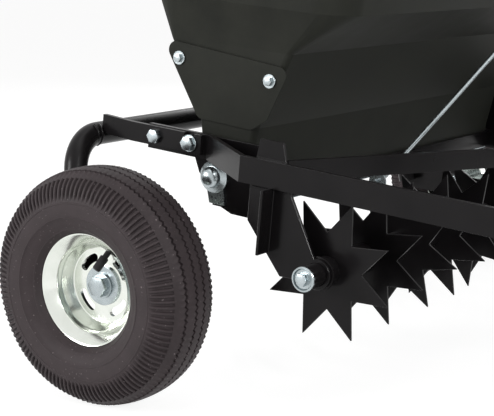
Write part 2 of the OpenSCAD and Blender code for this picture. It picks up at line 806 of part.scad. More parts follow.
// Places on the hopper's end, as shares of the way from the bin's front to its rear and from waist to bin
panel_bolt_shares = [[0.889, 0.744], [0.136, 0.64]];
panel_corner_shares = [[0.926, 0.837], [0.074, 0.721], [0.185, 0.209], [0.272, 0.093], [0.667, 0.116]];
function end_at(s) = [bin_front + s[0] * (bin_rear - bin_front), waist_rise + s[1] * (bin_rise - waist_rise)];
panel_bolts_at = [for (s = panel_bolt_shares) end_at(s)];
panel_in = hopper_half;
panel_out = panel_in + panel_t;

module end_panel(left) {
    color(poly_grey) at_body() on_side(left) difference() {
        plate_x(panel_in, panel_out) hull() for (s = panel_corner_shares)
            translate(end_at(s)) circle(panel_round, $fn = faces_hull);
        for (at = panel_bolts_at) bar_x(at, panel_bolt_d / 2 + run_gap, panel_in - eps, panel_out + eps);
    }
}

module panel_bolts() {
    color(zinc) at_body() for (left = [false, true], at = panel_bolts_at) on_side(left) {
        bar_x(at, panel_bolt_d / 2, panel_in, panel_out, faces_small);
        bar_x(at, panel_bolt_d * washer_r_share, panel_out, panel_out + washer_t, faces_small);
        bar_x(at, panel_bolt_d * head_r_share, panel_out + washer_t,
              panel_out + washer_t + panel_bolt_d * head_h_share, 6);
    }
}

// Side plates carry the hopper floor, the agitator and the arms
side_tail = 14;
side_reach = 128;
side_under = 8;
side_over = 10;
// Outline as shares of the plate's length, from its rear, and of its height, from its foot
side_shares = [[0, 1], [1, 1], [1, 0.293], [0.855, 0], [0.699, 0], [0.566, 0.098], [0.53, 0.232],
               [0.416, 0.476], [0.367, 0.695], [0, 0.732]];
side_rear = pivot_back + side_tail;
side_low = floor_top - side_under;
side_outline = [for (s = side_shares)
    [side_rear - s[0] * (side_rear + side_reach), side_low + s[1] * (pivot_rise + side_over - side_low)]];

module side_plate(left) {
    color(paint_black) at_body() on_side(left) difference() {
        plate_x(side_in, side_out) polygon(side_outline);
        for (at = [pivot_at, stop_at]) bar_x(at, pivot_r + run_gap, side_in - eps, side_out + eps);
        bar_x(agitator_at, agitator_r + face_gap, side_in - eps, side_out + eps);
    }
}

// Metering floor: a tray with drop windows, held to the side plates by its end blocks
floor_front = throat_front + floor_t;
floor_rear = foot_rear + floor_t;
floor_lip = 22;
floor_tab = 25;
window_count = 10;
window_w = 22;
window_l = 14;
window_reach = (throat_front - foot_rear) / 2;
runner_t = 2.5;
runner_lap = 8;

module windows() {
    gap = hopper_l / window_count;
    for (k = [0 : window_count - 1])
        translate([-hopper_half + (k + 0.5) * gap - window_w / 2, -window_reach - window_l / 2,
                   floor_top - floor_t - eps])
            cube([window_w, window_l, floor_t + 2 * eps]);
}

// An angle under the floor that the end of the gate slides in
module gate_runner() {
    low = gate_top - gate_t - face_gap - runner_t;
    translate([gate_half - runner_lap, -floor_front, low])
        cube([runner_lap + face_gap + runner_t, floor_front + floor_rear, runner_t]);
    translate([gate_half + face_gap, -floor_front, low])
        cube([runner_t, floor_front + floor_rear, floor_top - floor_t - low]);
}

module metering_floor() {
    color(paint_black) at_body() difference() {
        union() {
            translate([-hopper_half, -floor_front, floor_top - floor_t])
                cube([hopper_l, floor_front + floor_rear, floor_t]);
            translate([-hopper_half, -floor_front, floor_top - floor_t]) cube([hopper_l, floor_t, floor_lip]);
            for (left = [false, true]) on_side(left) {
                gate_runner();
                translate([hopper_half, -floor_front, floor_top - floor_t])
                    cube([hopper_gap, floor_tab, floor_lip]);
            }
        }
        windows();
    }
}

// Slide gate that shuts the windows from below until the control rod pulls it forward
gate_top = floor_top - floor_t - face_gap;
gate_front = floor_front;
gate_edge = 6;
gate_rear = window_reach - window_l / 2 - gate_edge;
gate_inset = 6;
gate_half = hopper_half - gate_inset;
gate_arm_w = 22;
rod_side = 190;
rod_low_reach = 178;
rod_low_rise = 112;
rod_low = [-rod_side, -rod_low_reach, rod_low_rise];
gate_tab_r = 11;
rod_fit = 0.1;

module gate_plate() {
    color(zinc) at_body() difference() {
        union() {
            translate([-gate_half, -gate_front, gate_top - gate_t])
                cube([2 * gate_half, gate_front - gate_rear, gate_t]);
            translate([rod_low[0] - gate_arm_w / 2, rod_low[1] - gate_tab_r, gate_top - gate_t])
                cube([gate_arm_w, gate_tab_r - rod_low[1] - gate_front + eps, gate_t]);
            translate([rod_low[0] - gate_t, rod_low[1] - gate_tab_r, gate_top - gate_t])
                cube([gate_t, 2 * gate_tab_r, rod_low[2] - gate_top + gate_t]);
            bar_x([rod_low[1], rod_low[2]], gate_tab_r, rod_low[0] - gate_t, rod_low[0]);
        }
        bar_x([rod_low[1], rod_low[2]], rod_d / 2 + rod_fit, rod_low[0] - gate_t - eps, rod_low[0] + eps);
    }
}

// Agitator inside the hopper throat
finger_d = 5;
finger_l = 19;
finger_count = 12;
agitator_past = 16;
agitator_end = side_out + agitator_past;

module agitator_shaft() {
    step = hopper_l / finger_count;
    color(zinc) at_body() {
        bar_x(agitator_at, agitator_r, -agitator_end, agitator_end);
        for (k = [0 : finger_count - 1])
            translate([-hopper_half + (k + 0.5) * step, agitator_at[0], agitator_at[1]])
                rotate([k * 90, 0, 0]) translate([0, 0, -finger_l])
                    cylinder(d = finger_d, h = 2 * finger_l, $fn = faces_small);
    }
}

// Agitator bearings: dished flange brackets on the side plates
flange_big_r = 18;
flange_t = 3;
flange_cup_r = 12;
flange_cup_t = 7;
flange_foot_w = 24;
flange_foot_l = 30;
flange_foot_share = 0.86;
flange_foot_shift = 7;

module agitator_bearing(left) {
    color(zinc) at_body() on_side(left) difference() {
        union() {
            bar_x(agitator_at, flange_big_r, side_out, side_out + flange_t);
            if (!left) translate([side_out + flange_t, agitator_at[0], agitator_at[1]]) rotate([0, 90, 0])
                cylinder(r1 = flange_big_r, r2 = flange_cup_r, h = flange_cup_t - flange_t);
            plate_x(side_out, side_out + flange_t) translate(agitator_at) polygon([
                [flange_foot_w / 2, 0], [-flange_foot_w / 2, 0],
                [-flange_foot_w / 2 * flange_foot_share - flange_foot_shift, -flange_foot_l],
                [flange_foot_w / 2 * flange_foot_share - flange_foot_shift, -flange_foot_l]]);
        }
        bar_x(agitator_at, agitator_r + run_gap, side_out - eps, side_out + flange_cup_t + eps);
    }
}

// Flow control: a hand lever on a post, and the rod down to the gate
post_t = 6;
post_bolt_at = [-lever_reach, arm_rise];
post_round = post_w / 2;
lever_at = [-lever_reach, lever_rise];
lever_t = 5;
lever_x = tongue_w / 2 + post_t + face_gap;
rod_play = 1.6;
rod_square = 30.2;
lever_rest = rod_square - lever_swing / 2;
lever_eye = [-lever_reach + lever_arm * cos(lever_rest), lever_rise + lever_arm * sin(lever_rest)];
lever_plate_r = 13;
lever_eye_share = 0.8;
handle_lean = 4;
handle_w = 20;
knob_d = 34;
knob_l = 60;
// Knob outline as shares of its radius and of its length
knob_shares = [[0.6, 0], [1, 0.65], [0.8, 1]];
lever_bolt_d = 10;
handle_top = [-lever_reach - handle_l * sin(-handle_lean), lever_rise + handle_l * cos(handle_lean)];

module lever_post() {
    color(paint_black) at_body() difference() {
        mirror([1, 0, 0]) plate_x(tongue_w / 2, tongue_w / 2 + post_t) {
            translate([-lever_reach - post_w / 2, arm_rise - tongue_w / 2])
                square([post_w, lever_rise - arm_rise + tongue_w / 2]);
            translate(lever_at) circle(post_round);
        }
        bar_x(post_bolt_at, tongue_bolt_d / 2 + run_gap, -tongue_w, 0);
        bar_x(lever_at, lever_bolt_d / 2 + run_gap, -tongue_w, 0);
    }
}

module flow_lever() {
    color(zinc) at_body() difference() {
        mirror([1, 0, 0]) plate_x(lever_x, lever_x + lever_t) {
            hull() {
                translate(lever_at) circle(lever_plate_r, $fn = faces_hull);
                translate(lever_eye) circle(lever_plate_r * lever_eye_share, $fn = faces_hull);
            }
            hull() {
                translate(lever_at) circle(handle_w / 2, $fn = faces_hull);
                translate(handle_top) circle(handle_w / 2, $fn = faces_hull);
            }
        }
        mirror([1, 0, 0]) bar_x(lever_at, lever_bolt_d / 2 + run_gap, lever_x - eps, lever_x + lever_t + eps);
        mirror([1, 0, 0]) bar_x(lever_eye, rod_d / 2 + rod_play, lever_x - eps, lever_x + lever_t + eps);
    }
}

module lever_knob() {
    foot = face_gap + handle_w / 2;
    side = [for (s = knob_shares) [s[0] * knob_d / 2, foot + s[1] * (knob_l - foot)]];
    color(rubber_grey) at_body() translate([-lever_x - lever_t / 2, handle_top[0], handle_top[1]])
        rotate([-handle_lean, 0, 0]) rotate_extrude() polygon(concat([[0, foot]], side, [[0, knob_l]]));
}

rod_hook = 8;
rod_high = [-lever_x - lever_t - rod_hook, lever_eye[0], lever_eye[1]];
rod_lead = 8;

module flow_rod() {
    low = rod_low + [rod_lead, 0, 0];
    run = rod_high - low;
    from = low - unit(run) * rod_d / 2;
    color(zinc) at_body() {
        translate(from) rotate([0, acos(run[2] / norm(run)), atan2(run[1], run[0])])
            cylinder(d = rod_d, h = norm(run) + rod_d, $fn = faces_small);
        bar_x([rod_low[1], rod_low[2]], rod_d / 2, rod_low[0] - rod_lead, low[0], faces_small);
        bar_x(lever_eye, rod_d / 2, rod_high[0], -lever_x + face_gap - bolt_gap, faces_small);
    }
}

// Agitator drive: two sprockets and a chain on the left side
tooth_h = 1.6;
chain_t = 5;
chain_h = 5;

function pitch_r(teeth) = chain_pitch / (2 * sin(180 / teeth));

module sprocket(at, teeth, bore_r) {
    tip = pitch_r(teeth) - chain_h / 2 - face_gap;
    difference() {
        plate_x(sprocket_x - sprocket_t / 2, sprocket_x + sprocket_t / 2) translate(at)
            polygon([for (k = [0 : 2 * teeth - 1])
                let (r = tip - (k % 2) * tooth_h, a = k * 180 / teeth) [r * cos(a), r * sin(a)]]);
        bar_x(at, bore_r, 0, 2 * sprocket_x);
    }
}

module reel_sprocket() {
    color(zinc) at_body() sprocket(reel_at, reel_teeth, reel_shaft_r + run_gap);
}

module agitator_sprocket() {
    color(zinc) at_body() sprocket(agitator_at, agitator_teeth, agitator_r);
}

module chain_loop(grow) {
    hull() {
        translate(reel_at) circle(pitch_r(reel_teeth) + grow, $fn = faces_hull);
        translate(agitator_at) circle(pitch_r(agitator_teeth) + grow, $fn = faces_hull);
    }
}

module drive_chain() {
    color(zinc) at_body() plate_x(sprocket_x - chain_t / 2, sprocket_x + chain_t / 2) difference() {
        chain_loop(chain_h / 2);
        chain_loop(-chain_h / 2);
    }
}

hopper_shell();
end_panel(false);  // right_end_panel
end_panel(true);  // left_end_panel
panel_bolts();
side_plate(false);  // right_side_plate
side_plate(true);  // left_side_plate
metering_floor();
gate_plate();
agitator_shaft();
agitator_bearing(false);  // right_agitator_bearing
agitator_bearing(true);  // left_agitator_bearing
hanger(false);  // right_hanger
hanger(true);  // left_hanger
reel_shaft();
disc_spacers();
reel_bearing(false);  // right_reel_bearing
reel_bearing(true);  // left_reel_bearing
reel_end_bolts();
for (i = [1 : disc_count]) spiker_disc(i);
arm(false);  // right_arm
arm(true);  // left_arm
brace(false);  // right_brace
brace(true);  // left_brace
tongue();
drawbar_bolts();
hitch_channel();
hitch_clevis();
hitch_bolts();
wheel_tube();
pivot_tab(false);  // right_pivot_tab
pivot_tab(true);  // left_pivot_tab
axle_plate(false);  // right_axle_plate
axle_plate(true);  // left_axle_plate
axle_bolts();
pivot_bolts();
tyre(false);  // right_tyre
tyre(true);  // left_tyre
rim_halves(false);  // right_rim_halves
rim_halves(true);  // left_rim_halves
hub(false);  // right_hub
hub(true);  // left_hub
valve(false);  // right_valve
valve(true);  // left_valve
lever_post();
flow_lever();
lever_knob();
flow_rod();
reel_sprocket();
agitator_sprocket();
drive_chain();
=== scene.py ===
"""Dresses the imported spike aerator: tread, pressed rims, fasteners, welds, chain, finishes and stage."""
import json
import math

import bmesh
import bpy
from mathutils import Matrix, Vector


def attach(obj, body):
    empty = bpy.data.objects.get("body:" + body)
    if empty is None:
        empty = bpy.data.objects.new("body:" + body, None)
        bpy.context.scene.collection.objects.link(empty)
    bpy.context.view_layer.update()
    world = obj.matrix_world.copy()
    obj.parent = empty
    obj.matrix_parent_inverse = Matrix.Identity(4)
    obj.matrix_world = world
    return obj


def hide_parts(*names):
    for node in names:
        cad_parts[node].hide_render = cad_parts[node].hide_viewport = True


bl_info = {
    "name": "Spike aerator dressing",
    "version": (1, 0, 0),
    "blender": (4, 5, 0),
    "location": "3D View > Sidebar > Aerator",
    "description": "Builds the visible pieces and finishes of a tow-behind spike aerator",
    "category": "Object",
}

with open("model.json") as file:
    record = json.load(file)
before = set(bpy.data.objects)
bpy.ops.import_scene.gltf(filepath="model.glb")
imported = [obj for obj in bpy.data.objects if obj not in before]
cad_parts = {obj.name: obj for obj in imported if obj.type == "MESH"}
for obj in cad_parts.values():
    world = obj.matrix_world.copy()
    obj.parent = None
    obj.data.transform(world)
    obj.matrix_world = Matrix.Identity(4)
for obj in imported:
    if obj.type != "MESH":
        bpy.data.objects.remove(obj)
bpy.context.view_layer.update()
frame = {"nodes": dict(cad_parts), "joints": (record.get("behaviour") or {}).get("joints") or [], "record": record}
NODES = frame["nodes"]
JOINTS = {j["name"]: j for j in frame["joints"]}
BODY_OF = {n: b for b, members in frame["record"]["behaviour"]["bodies"].items() for n in members}

MM = 0.001
SIDES = {-1: "right", 1: "left"}
AXLE = Vector(JOINTS["right_wheel_spin"]["pos_m"])
SLIDE = JOINTS["gate_slide"]["axis"]
PITCH = math.atan2(SLIDE[2], SLIDE[1])
# Level machine frame in millimetres, about the wheel axle line, to the row frame in metres
LEVEL = Matrix.Translation((0, AXLE.y, AXLE.z)) @ Matrix.Rotation(PITCH, 4, "X") @ Matrix.Scale(MM, 4)


def linear(text):
    """An sRGB hex colour as linear red, green, blue and alpha."""
    parts = [int(text[i:i + 2], 16) / 255 for i in (1, 3, 5)]
    return tuple(c / 12.92 if c <= 0.04045 else ((c + 0.055) / 1.055) ** 2.4 for c in parts) + (1.0,)


def colour(name, text, words):
    """A colour setting that starts from a hex value."""
    return bpy.props.FloatVectorProperty(name=name, description=words, subtype="COLOR", size=4, min=0, max=1,
                                         default=linear(text))


def length(name, value_mm, words):
    """A length setting, given in millimetres."""
    return bpy.props.FloatProperty(name=name, description=words, default=value_mm * MM, min=0, precision=4,
                                   subtype="DISTANCE", unit="LENGTH")


class AeratorFinishes(bpy.types.PropertyGroup):
    """Colours of the finishes."""

    paint: colour("Powder coat", "#0c0b0c", "Gloss black coat on the steel bars and plates")
    paint_dust: colour("Coat haze", "#1a1819", "Fine dust that greys the black coat")
    poly: colour("Hopper plastic", "#20211f", "Moulded polyethylene of the hopper")
    poly_pale: colour("Hopper scuff", "#31322d", "Paler handling marks on the hopper")
    zinc: colour("Zinc plate", "#c3ccd0", "Bright zinc on bolts, rod and gate")
    zinc_dull: colour("Zinc patches", "#929a9b", "Greyer patches of the zinc")
    rim: colour("Rim plate", "#eceee9", "Bright plated steel of the rims")
    rim_tint: colour("Rim tint", "#d4dad0", "Faint green tint of the rim's plating")
    rubber: colour("Tyre rubber", "#282223", "Carbon-black rubber of the tyres")
    rubber_dust: colour("Tyre bloom", "#41393b", "Grey bloom on the rubber")
    rubber_speck: colour("Tyre specks", "#746b6d", "Pale grit caught in the rubber's grain")
    grip: colour("Grip", "#161618", "Dipped vinyl of the lever grip")
    steel: colour("Chain steel", "#55575a", "Oiled steel of the chain and sprockets")
    steel_bare: colour("Worn steel", "#8f908d", "Brighter steel where the chain runs")


class AeratorTread(bpy.types.PropertyGroup):
    """Shape of the tyre tread."""

    lugs: bpy.props.IntProperty(name="Lugs", description="Shoulder lugs round the tyre", default=118,
                                min=40, max=130)
    lug_depth: length("Lug depth", 2.6, "Depth of the gaps between shoulder lugs")
    groove_depth: length("Groove depth", 3.0, "Depth of the tread grooves")
    zigzag: length("Zigzag", 1.5, "Side throw of the zigzag groove edges")


class AeratorEdges(bpy.types.PropertyGroup):
    """Rounding of sheet and bar edges, and size of the weld beads."""

    bar: length("Bar edges", 0.9, "Rounding of the edges of bars and thick plates")
    sheet: length("Sheet edges", 0.5, "Rounding of the edges of thin sheet")
    mould: length("Moulded edges", 1.8, "Rounding of the edges of the moulded hopper")
    weld: length("Weld bead", 2.2, "Radius of the weld beads")


class AeratorStage(bpy.types.PropertyGroup):
    """Floor, light and camera."""

    floor: colour("Floor", "#f4f4f3", "Pale studio floor")
    key: bpy.props.FloatProperty(name="Key light", description="Power of the soft key light", default=62,
                                 min=0, unit="POWER")
    glow: bpy.props.FloatProperty(name="Floor glow", description="Share of plain white seen in the floor",
                                  default=0.7, min=0, max=1, subtype="FACTOR")
    fill: bpy.props.FloatProperty(name="Sky light", description="Strength of the even sky", default=0.22,
                                  min=0)
    lens: bpy.props.FloatProperty(name="Lens", description="Focal length on a 36 mm sensor", default=101.66,
                                  min=10, unit="CAMERA")


GROUPS = {"aerator_finishes": AeratorFinishes, "aerator_tread": AeratorTread, "aerator_edges": AeratorEdges,
          "aerator_stage": AeratorStage}


def add_node(tree, kind, values=None, links=None, **properties):
    """Adds one node with its properties, socket values and incoming links."""
    node = tree.nodes.new(kind)
    for key, value in properties.items():
        setattr(node, key, value)
    for key, value in (values or {}).items():
        node.inputs[key].default_value = value
    for key, source in (links or {}).items():
        tree.links.new(source, node.inputs[key])
    return node


def start_material(name):
    """An empty node material and its object coordinates."""
    material = bpy.data.materials.new(name)
    material.use_nodes = True
    tree = material.node_tree
    tree.nodes.clear()
    return material, tree, add_node(tree, "ShaderNodeTexCoord").outputs["Object"]


def per_metre(size_mm):
    """Texture scale whose features are about this many millimetres across."""
    return 1 / (size_mm * MM)


def powder_coat(finishes):
    """Polyester powder coat, sprayed and baked on steel: deep gloss black with orange peel a few millimetres
    across, and a thin grey dust that gathers on faces that look up."""
    material, tree, coords = start_material("powder_coat_gloss_black")
    cloud = add_node(tree, "ShaderNodeTexNoise", {"Scale": per_metre(55), "Detail": 5.0}, {"Vector": coords})
    peel = add_node(tree, "ShaderNodeTexNoise", {"Scale": per_metre(3.2), "Detail": 1.0}, {"Vector": coords})
    facing = add_node(tree, "ShaderNodeSeparateXYZ", links={0: coords.node.outputs["Normal"]})
    upward = add_node(tree, "ShaderNodeMath", {1: 0.5}, {0: facing.outputs["Z"]}, operation="MULTIPLY",
                      use_clamp=True)
    dust = add_node(tree, "ShaderNodeMath", links={0: cloud.outputs["Fac"], 1: upward.outputs["Value"]},
                    operation="ADD", use_clamp=True)
    tone = add_node(tree, "ShaderNodeMix", {6: finishes.paint, 7: finishes.paint_dust},
                    {0: dust.outputs["Value"]}, data_type="RGBA")
    gloss = add_node(tree, "ShaderNodeMapRange", {"To Min": 0.14, "To Max": 0.32},
                     {"Value": dust.outputs["Value"]})
    skin = add_node(tree, "ShaderNodeBump", {"Strength": 0.1, "Distance": 0.25 * MM},
                    {"Height": peel.outputs["Fac"]})
    coat = add_node(tree, "ShaderNodeBsdfPrincipled", {"IOR": 1.5, "Specular IOR Level": 0.14},
                    {"Base Color": tone.outputs[2], "Roughness": gloss.outputs["Result"],
                     "Normal": skin.outputs["Normal"]})
    add_node(tree, "ShaderNodeOutputMaterial", links={"Surface": coat.outputs["BSDF"]})
    return material


def hopper_plastic(finishes):
    """Rotation-moulded polyethylene: satin dark grey with a leathery grain about 1.5 mm across and paler
    rubbed patches."""
    material, tree, coords = start_material("moulded_polyethylene_dark_grey")
    scuff = add_node(tree, "ShaderNodeTexNoise", {"Scale": per_metre(45), "Detail": 7.0, "Roughness": 0.62},
                     {"Vector": coords})
    grain = add_node(tree, "ShaderNodeTexVoronoi", {"Scale": per_metre(1.5)}, {"Vector": coords},
                     feature="SMOOTH_F1")
    tone = add_node(tree, "ShaderNodeMix", {6: finishes.poly, 7: finishes.poly_pale},
                    {0: scuff.outputs["Fac"]}, data_type="RGBA")
    gloss = add_node(tree, "ShaderNodeMapRange", {"To Min": 0.36, "To Max": 0.55},
                     {"Value": scuff.outputs["Fac"]})
    skin = add_node(tree, "ShaderNodeBump", {"Strength": 0.18, "Distance": 0.3 * MM},
                    {"Height": grain.outputs["Distance"]})
    wall = add_node(tree, "ShaderNodeBsdfPrincipled", {"IOR": 1.51, "Specular IOR Level": 0.05},
                    {"Base Color": tone.outputs[2], "Roughness": gloss.outputs["Result"],
                     "Normal": skin.outputs["Normal"]})
    add_node(tree, "ShaderNodeOutputMaterial", links={"Surface": wall.outputs["BSDF"]})
    return material


def zinc_plate(finishes):
    """Barrel-plated zinc, clear passivated: bright, softly streaked, greyer in patches."""
    material, tree, coords = start_material("bright_zinc_plate")
    patch = add_node(tree, "ShaderNodeTexNoise", {"Scale": per_metre(14), "Detail": 3.0}, {"Vector": coords})
    streak = add_node(tree, "ShaderNodeTexNoise", {"Scale": per_metre(5), "Detail": 5.0}, {"Vector": coords})
    tone = add_node(tree, "ShaderNodeMix", {6: finishes.zinc, 7: finishes.zinc_dull},
                    {0: patch.outputs["Fac"]}, data_type="RGBA")
    gloss = add_node(tree, "ShaderNodeMapRange", {"To Min": 0.2, "To Max": 0.34},
                     {"Value": streak.outputs["Fac"]})
    skin = add_node(tree, "ShaderNodeBump", {"Strength": 0.04, "Distance": 0.2 * MM},
                    {"Height": streak.outputs["Fac"]})
    plate = add_node(tree, "ShaderNodeBsdfPrincipled", {"Metallic": 1.0},
                     {"Base Color": tone.outputs[2], "Roughness": gloss.outputs["Result"],
                      "Normal": skin.outputs["Normal"]})
    add_node(tree, "ShaderNodeOutputMaterial", links={"Surface": plate.outputs["BSDF"]})
    return material


def rim_plate(finishes, side):
    """Pressed steel rim, bright plated: mirror bands with fine press lines that run round the wheel."""
    material, tree, coords = start_material("bright_plated_rim_" + SIDES[side])
    axle = JOINTS[SIDES[side] + "_wheel_spin"]["pos_m"]
    middle = add_node(tree, "ShaderNodeMapping", {"Location": tuple(-c for c in axle)}, {"Vector": coords})
    flat = add_node(tree, "ShaderNodeVectorMath", {1: (0.0, 1.0, 1.0)}, {0: middle.outputs["Vector"]},
                    operation="MULTIPLY")
    reach = add_node(tree, "ShaderNodeVectorMath", links={0: flat.outputs["Vector"]}, operation="LENGTH")
    # Real press lines are about 0.3 mm apart; these are drawn 1.1 mm apart so that they show
    lines = add_node(tree, "ShaderNodeTexNoise", {"Scale": per_metre(1.1), "Detail": 3.0},
                     {"W": reach.outputs["Value"]}, noise_dimensions="1D")
    patch = add_node(tree, "ShaderNodeTexNoise", {"Scale": per_metre(20), "Detail": 3.0}, {"Vector": coords})
    tone = add_node(tree, "ShaderNodeMix", {6: finishes.rim, 7: finishes.rim_tint}, {0: patch.outputs["Fac"]},
                    data_type="RGBA")
    gloss = add_node(tree, "ShaderNodeMapRange", {"To Min": 0.1, "To Max": 0.24},
                     {"Value": patch.outputs["Fac"]})
    skin = add_node(tree, "ShaderNodeBump", {"Strength": 0.05, "Distance": 0.2 * MM},
                    {"Height": lines.outputs["Fac"]})
    plate = add_node(tree, "ShaderNodeBsdfPrincipled", {"Metallic": 1.0},
                     {"Base Color": tone.outputs[2], "Roughness": gloss.outputs["Result"],
                      "Normal": skin.outputs["Normal"]})
    add_node(tree, "ShaderNodeOutputMaterial", links={"Surface": plate.outputs["BSDF"]})
    return material


def tyre_rubber(finishes):
    """Carbon-black rubber from a steel mould: matt brown-black, fine grained, with a grey bloom in patches
    and a few pale specks of grit."""
    material, tree, coords = start_material("tyre_rubber_bloomed")
    bloom = add_node(tree, "ShaderNodeTexNoise", {"Scale": per_metre(24), "Detail": 7.0, "Roughness": 0.65},
                     {"Vector": coords})
    grain = add_node(tree, "ShaderNodeTexNoise", {"Scale": per_metre(1.3), "Detail": 3.0}, {"Vector": coords})
    tone = add_node(tree, "ShaderNodeMix", {6: finishes.rubber, 7: finishes.rubber_dust},
                    {0: bloom.outputs["Fac"]}, data_type="RGBA")
    grit = add_node(tree, "ShaderNodeTexNoise", {"Scale": per_metre(2.4), "Detail": 1.0}, {"Vector": coords})
    speck = add_node(tree, "ShaderNodeMapRange", {"From Min": 0.7, "From Max": 0.8},
                     {"Value": grit.outputs["Fac"]})
    tone = add_node(tree, "ShaderNodeMix", {7: finishes.rubber_speck},
                    {0: speck.outputs["Result"], 6: tone.outputs[2]}, data_type="RGBA")
    gloss = add_node(tree, "ShaderNodeMapRange", {"To Min": 0.5, "To Max": 0.7},
                     {"Value": bloom.outputs["Fac"]})
    skin = add_node(tree, "ShaderNodeBump", {"Strength": 0.35, "Distance": 0.3 * MM},
                    {"Height": grain.outputs["Fac"]})
    rubber = add_node(tree, "ShaderNodeBsdfPrincipled", {"IOR": 1.52, "Specular IOR Level": 0.2},
                      {"Base Color": tone.outputs[2], "Roughness": gloss.outputs["Result"],
                       "Normal": skin.outputs["Normal"]})
    add_node(tree, "ShaderNodeOutputMaterial", links={"Surface": rubber.outputs["BSDF"]})
    return material


def soft_black(finishes, name, grain_mm, low, high):
    """Moulded valve rubber or dipped vinyl: near black, fine grain, dull sheen."""
    material, tree, coords = start_material(name)
    grain = add_node(tree, "ShaderNodeTexNoise", {"Scale": per_metre(grain_mm), "Detail": 4.0},
                     {"Vector": coords})
    tone = add_node(tree, "ShaderNodeMix", {6: finishes.grip, 7: finishes.paint_dust},
                    {0: grain.outputs["Fac"]}, data_type="RGBA")
    gloss = add_node(tree, "ShaderNodeMapRange", {"To Min": low, "To Max": high},
                     {"Value": grain.outputs["Fac"]})
    skin = add_node(tree, "ShaderNodeBump", {"Strength": 0.2, "Distance": 0.25 * MM},
                    {"Height": grain.outputs["Fac"]})
    dip = add_node(tree, "ShaderNodeBsdfPrincipled", {"IOR": 1.53, "Specular IOR Level": 0.2},
                   {"Base Color": tone.outputs[2], "Roughness": gloss.outputs["Result"],
                    "Normal": skin.outputs["Normal"]})
    add_node(tree, "ShaderNodeOutputMaterial", links={"Surface": dip.outputs["BSDF"]})
    return material


def oiled_steel(finishes):
    """Hardened chain and sprocket steel under a film of oil: dark, with uneven gloss and brighter worn
    spots."""
    material, tree, coords = start_material("oiled_chain_steel")
    film = add_node(tree, "ShaderNodeTexNoise", {"Scale": per_metre(8), "Detail": 5.0}, {"Vector": coords})
    tone = add_node(tree, "ShaderNodeMix", {6: finishes.steel, 7: finishes.steel_bare},
                    {0: film.outputs["Fac"]}, data_type="RGBA")
    gloss = add_node(tree, "ShaderNodeMapRange", {"To Min": 0.24, "To Max": 0.5},
                     {"Value": film.outputs["Fac"]})
    skin = add_node(tree, "ShaderNodeBump", {"Strength": 0.1, "Distance": 0.2 * MM},
                    {"Height": film.outputs["Fac"]})
    steel = add_node(tree, "ShaderNodeBsdfPrincipled", {"Metallic": 1.0},
                     {"Base Color": tone.outputs[2], "Roughness": gloss.outputs["Result"],
                      "Normal": skin.outputs["Normal"]})
    add_node(tree, "ShaderNodeOutputMaterial", links={"Surface": steel.outputs["BSDF"]})
    return material


FINISH = {}


def make_finishes(finishes):
    """All the finishes, once."""
    FINISH.update(
        black_paint=powder_coat(finishes),
        poly=hopper_plastic(finishes),
        zinc=zinc_plate(finishes),
        right_rim=rim_plate(finishes, -1),
        left_rim=rim_plate(finishes, 1),
        tyre_rubber=tyre_rubber(finishes),
        valve_rubber=soft_black(finishes, "moulded_valve_rubber", 1.5, 0.42, 0.62),
        grip=soft_black(finishes, "dipped_vinyl_grip", 2.5, 0.32, 0.48),
        chain=oiled_steel(finishes),
    )


def settings():
    """The scene's own settings: finishes, tread, edges and stage."""
    return [getattr(bpy.context.scene, name) for name in GROUPS]


def piece(bm, name, finish, body, nodes=(), place=LEVEL, sharp=32):
    """Turns a bmesh into a finished piece that rides on a body and may stand for CAD nodes."""
    bmesh.ops.transform(bm, matrix=place, verts=bm.verts)
    limit = math.radians(sharp)
    for face in bm.faces:
        face.smooth = True
    for edge in bm.edges:
        edge.smooth = len(edge.link_faces) == 2 and edge.calc_face_angle(0.0) < limit
    mesh = bpy.data.meshes.new(name)
    bm.to_mesh(mesh)
    bm.free()
    mesh.materials.append(FINISH[finish])
    obj = bpy.data.objects.new(name, mesh)
    bpy.context.scene.collection.objects.link(obj)
    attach(obj, body)
    if nodes:
        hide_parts(*nodes)
    return obj


def clean(bm):
    """Merges doubles and points the faces outwards."""
    bmesh.ops.remove_doubles(bm, verts=bm.verts, dist=1e-4)
    bmesh.ops.recalc_face_normals(bm, faces=bm.faces)


def dressed(node, finish, round_m=0.0, segments=2, corner=28):
    """A copy of a CAD node with its corners rounded, which stands for the node."""
    bm = bmesh.new()
    bm.from_mesh(NODES[node].data)
    bmesh.ops.remove_doubles(bm, verts=bm.verts, dist=2e-6)
    if round_m:
        bmesh.ops.dissolve_limit(bm, angle_limit=math.radians(0.6), verts=bm.verts, edges=bm.edges)
        limit = math.radians(corner)
        edges = [e for e in bm.edges if len(e.link_faces) == 2 and e.calc_face_angle(0.0) > limit]
        bmesh.ops.bevel(bm, geom=edges, offset=round_m, offset_type="OFFSET", affect="EDGES",
                        segments=segments, profile=0.5, material=-1, clamp_overlap=True)
    obj = piece(bm, node + "_finished", finish, BODY_OF[node], (node,), Matrix.Identity(4))
    if round_m:
        # Flat faces keep their own normals, so that only the rounded corners turn the light
        obj.modifiers.new("flat_faces", "WEIGHTED_NORMAL").keep_sharp = True
    return obj


def along_x(x, y, z):
    """Places a shape drawn along Z at a level point, turned to run along +X."""
    return Matrix.Translation((x, y, z)) @ Matrix.Rotation(math.radians(90), 4, "Y")


def outward(side, x, y, z):
    """Place at a level point whose Z axis points out of that side."""
    turn = along_x(x * side, y, z)
    return turn if side > 0 else turn @ Matrix.Rotation(math.pi, 4, "Y")


def linked(verts):
    """All vertices that edges join to these."""
    reach, todo = set(verts), list(verts)
    while todo:
        for edge in todo.pop().link_edges:
            for v in edge.verts:
                if v not in reach:
                    reach.add(v)
                    todo.append(v)
    return list(reach)


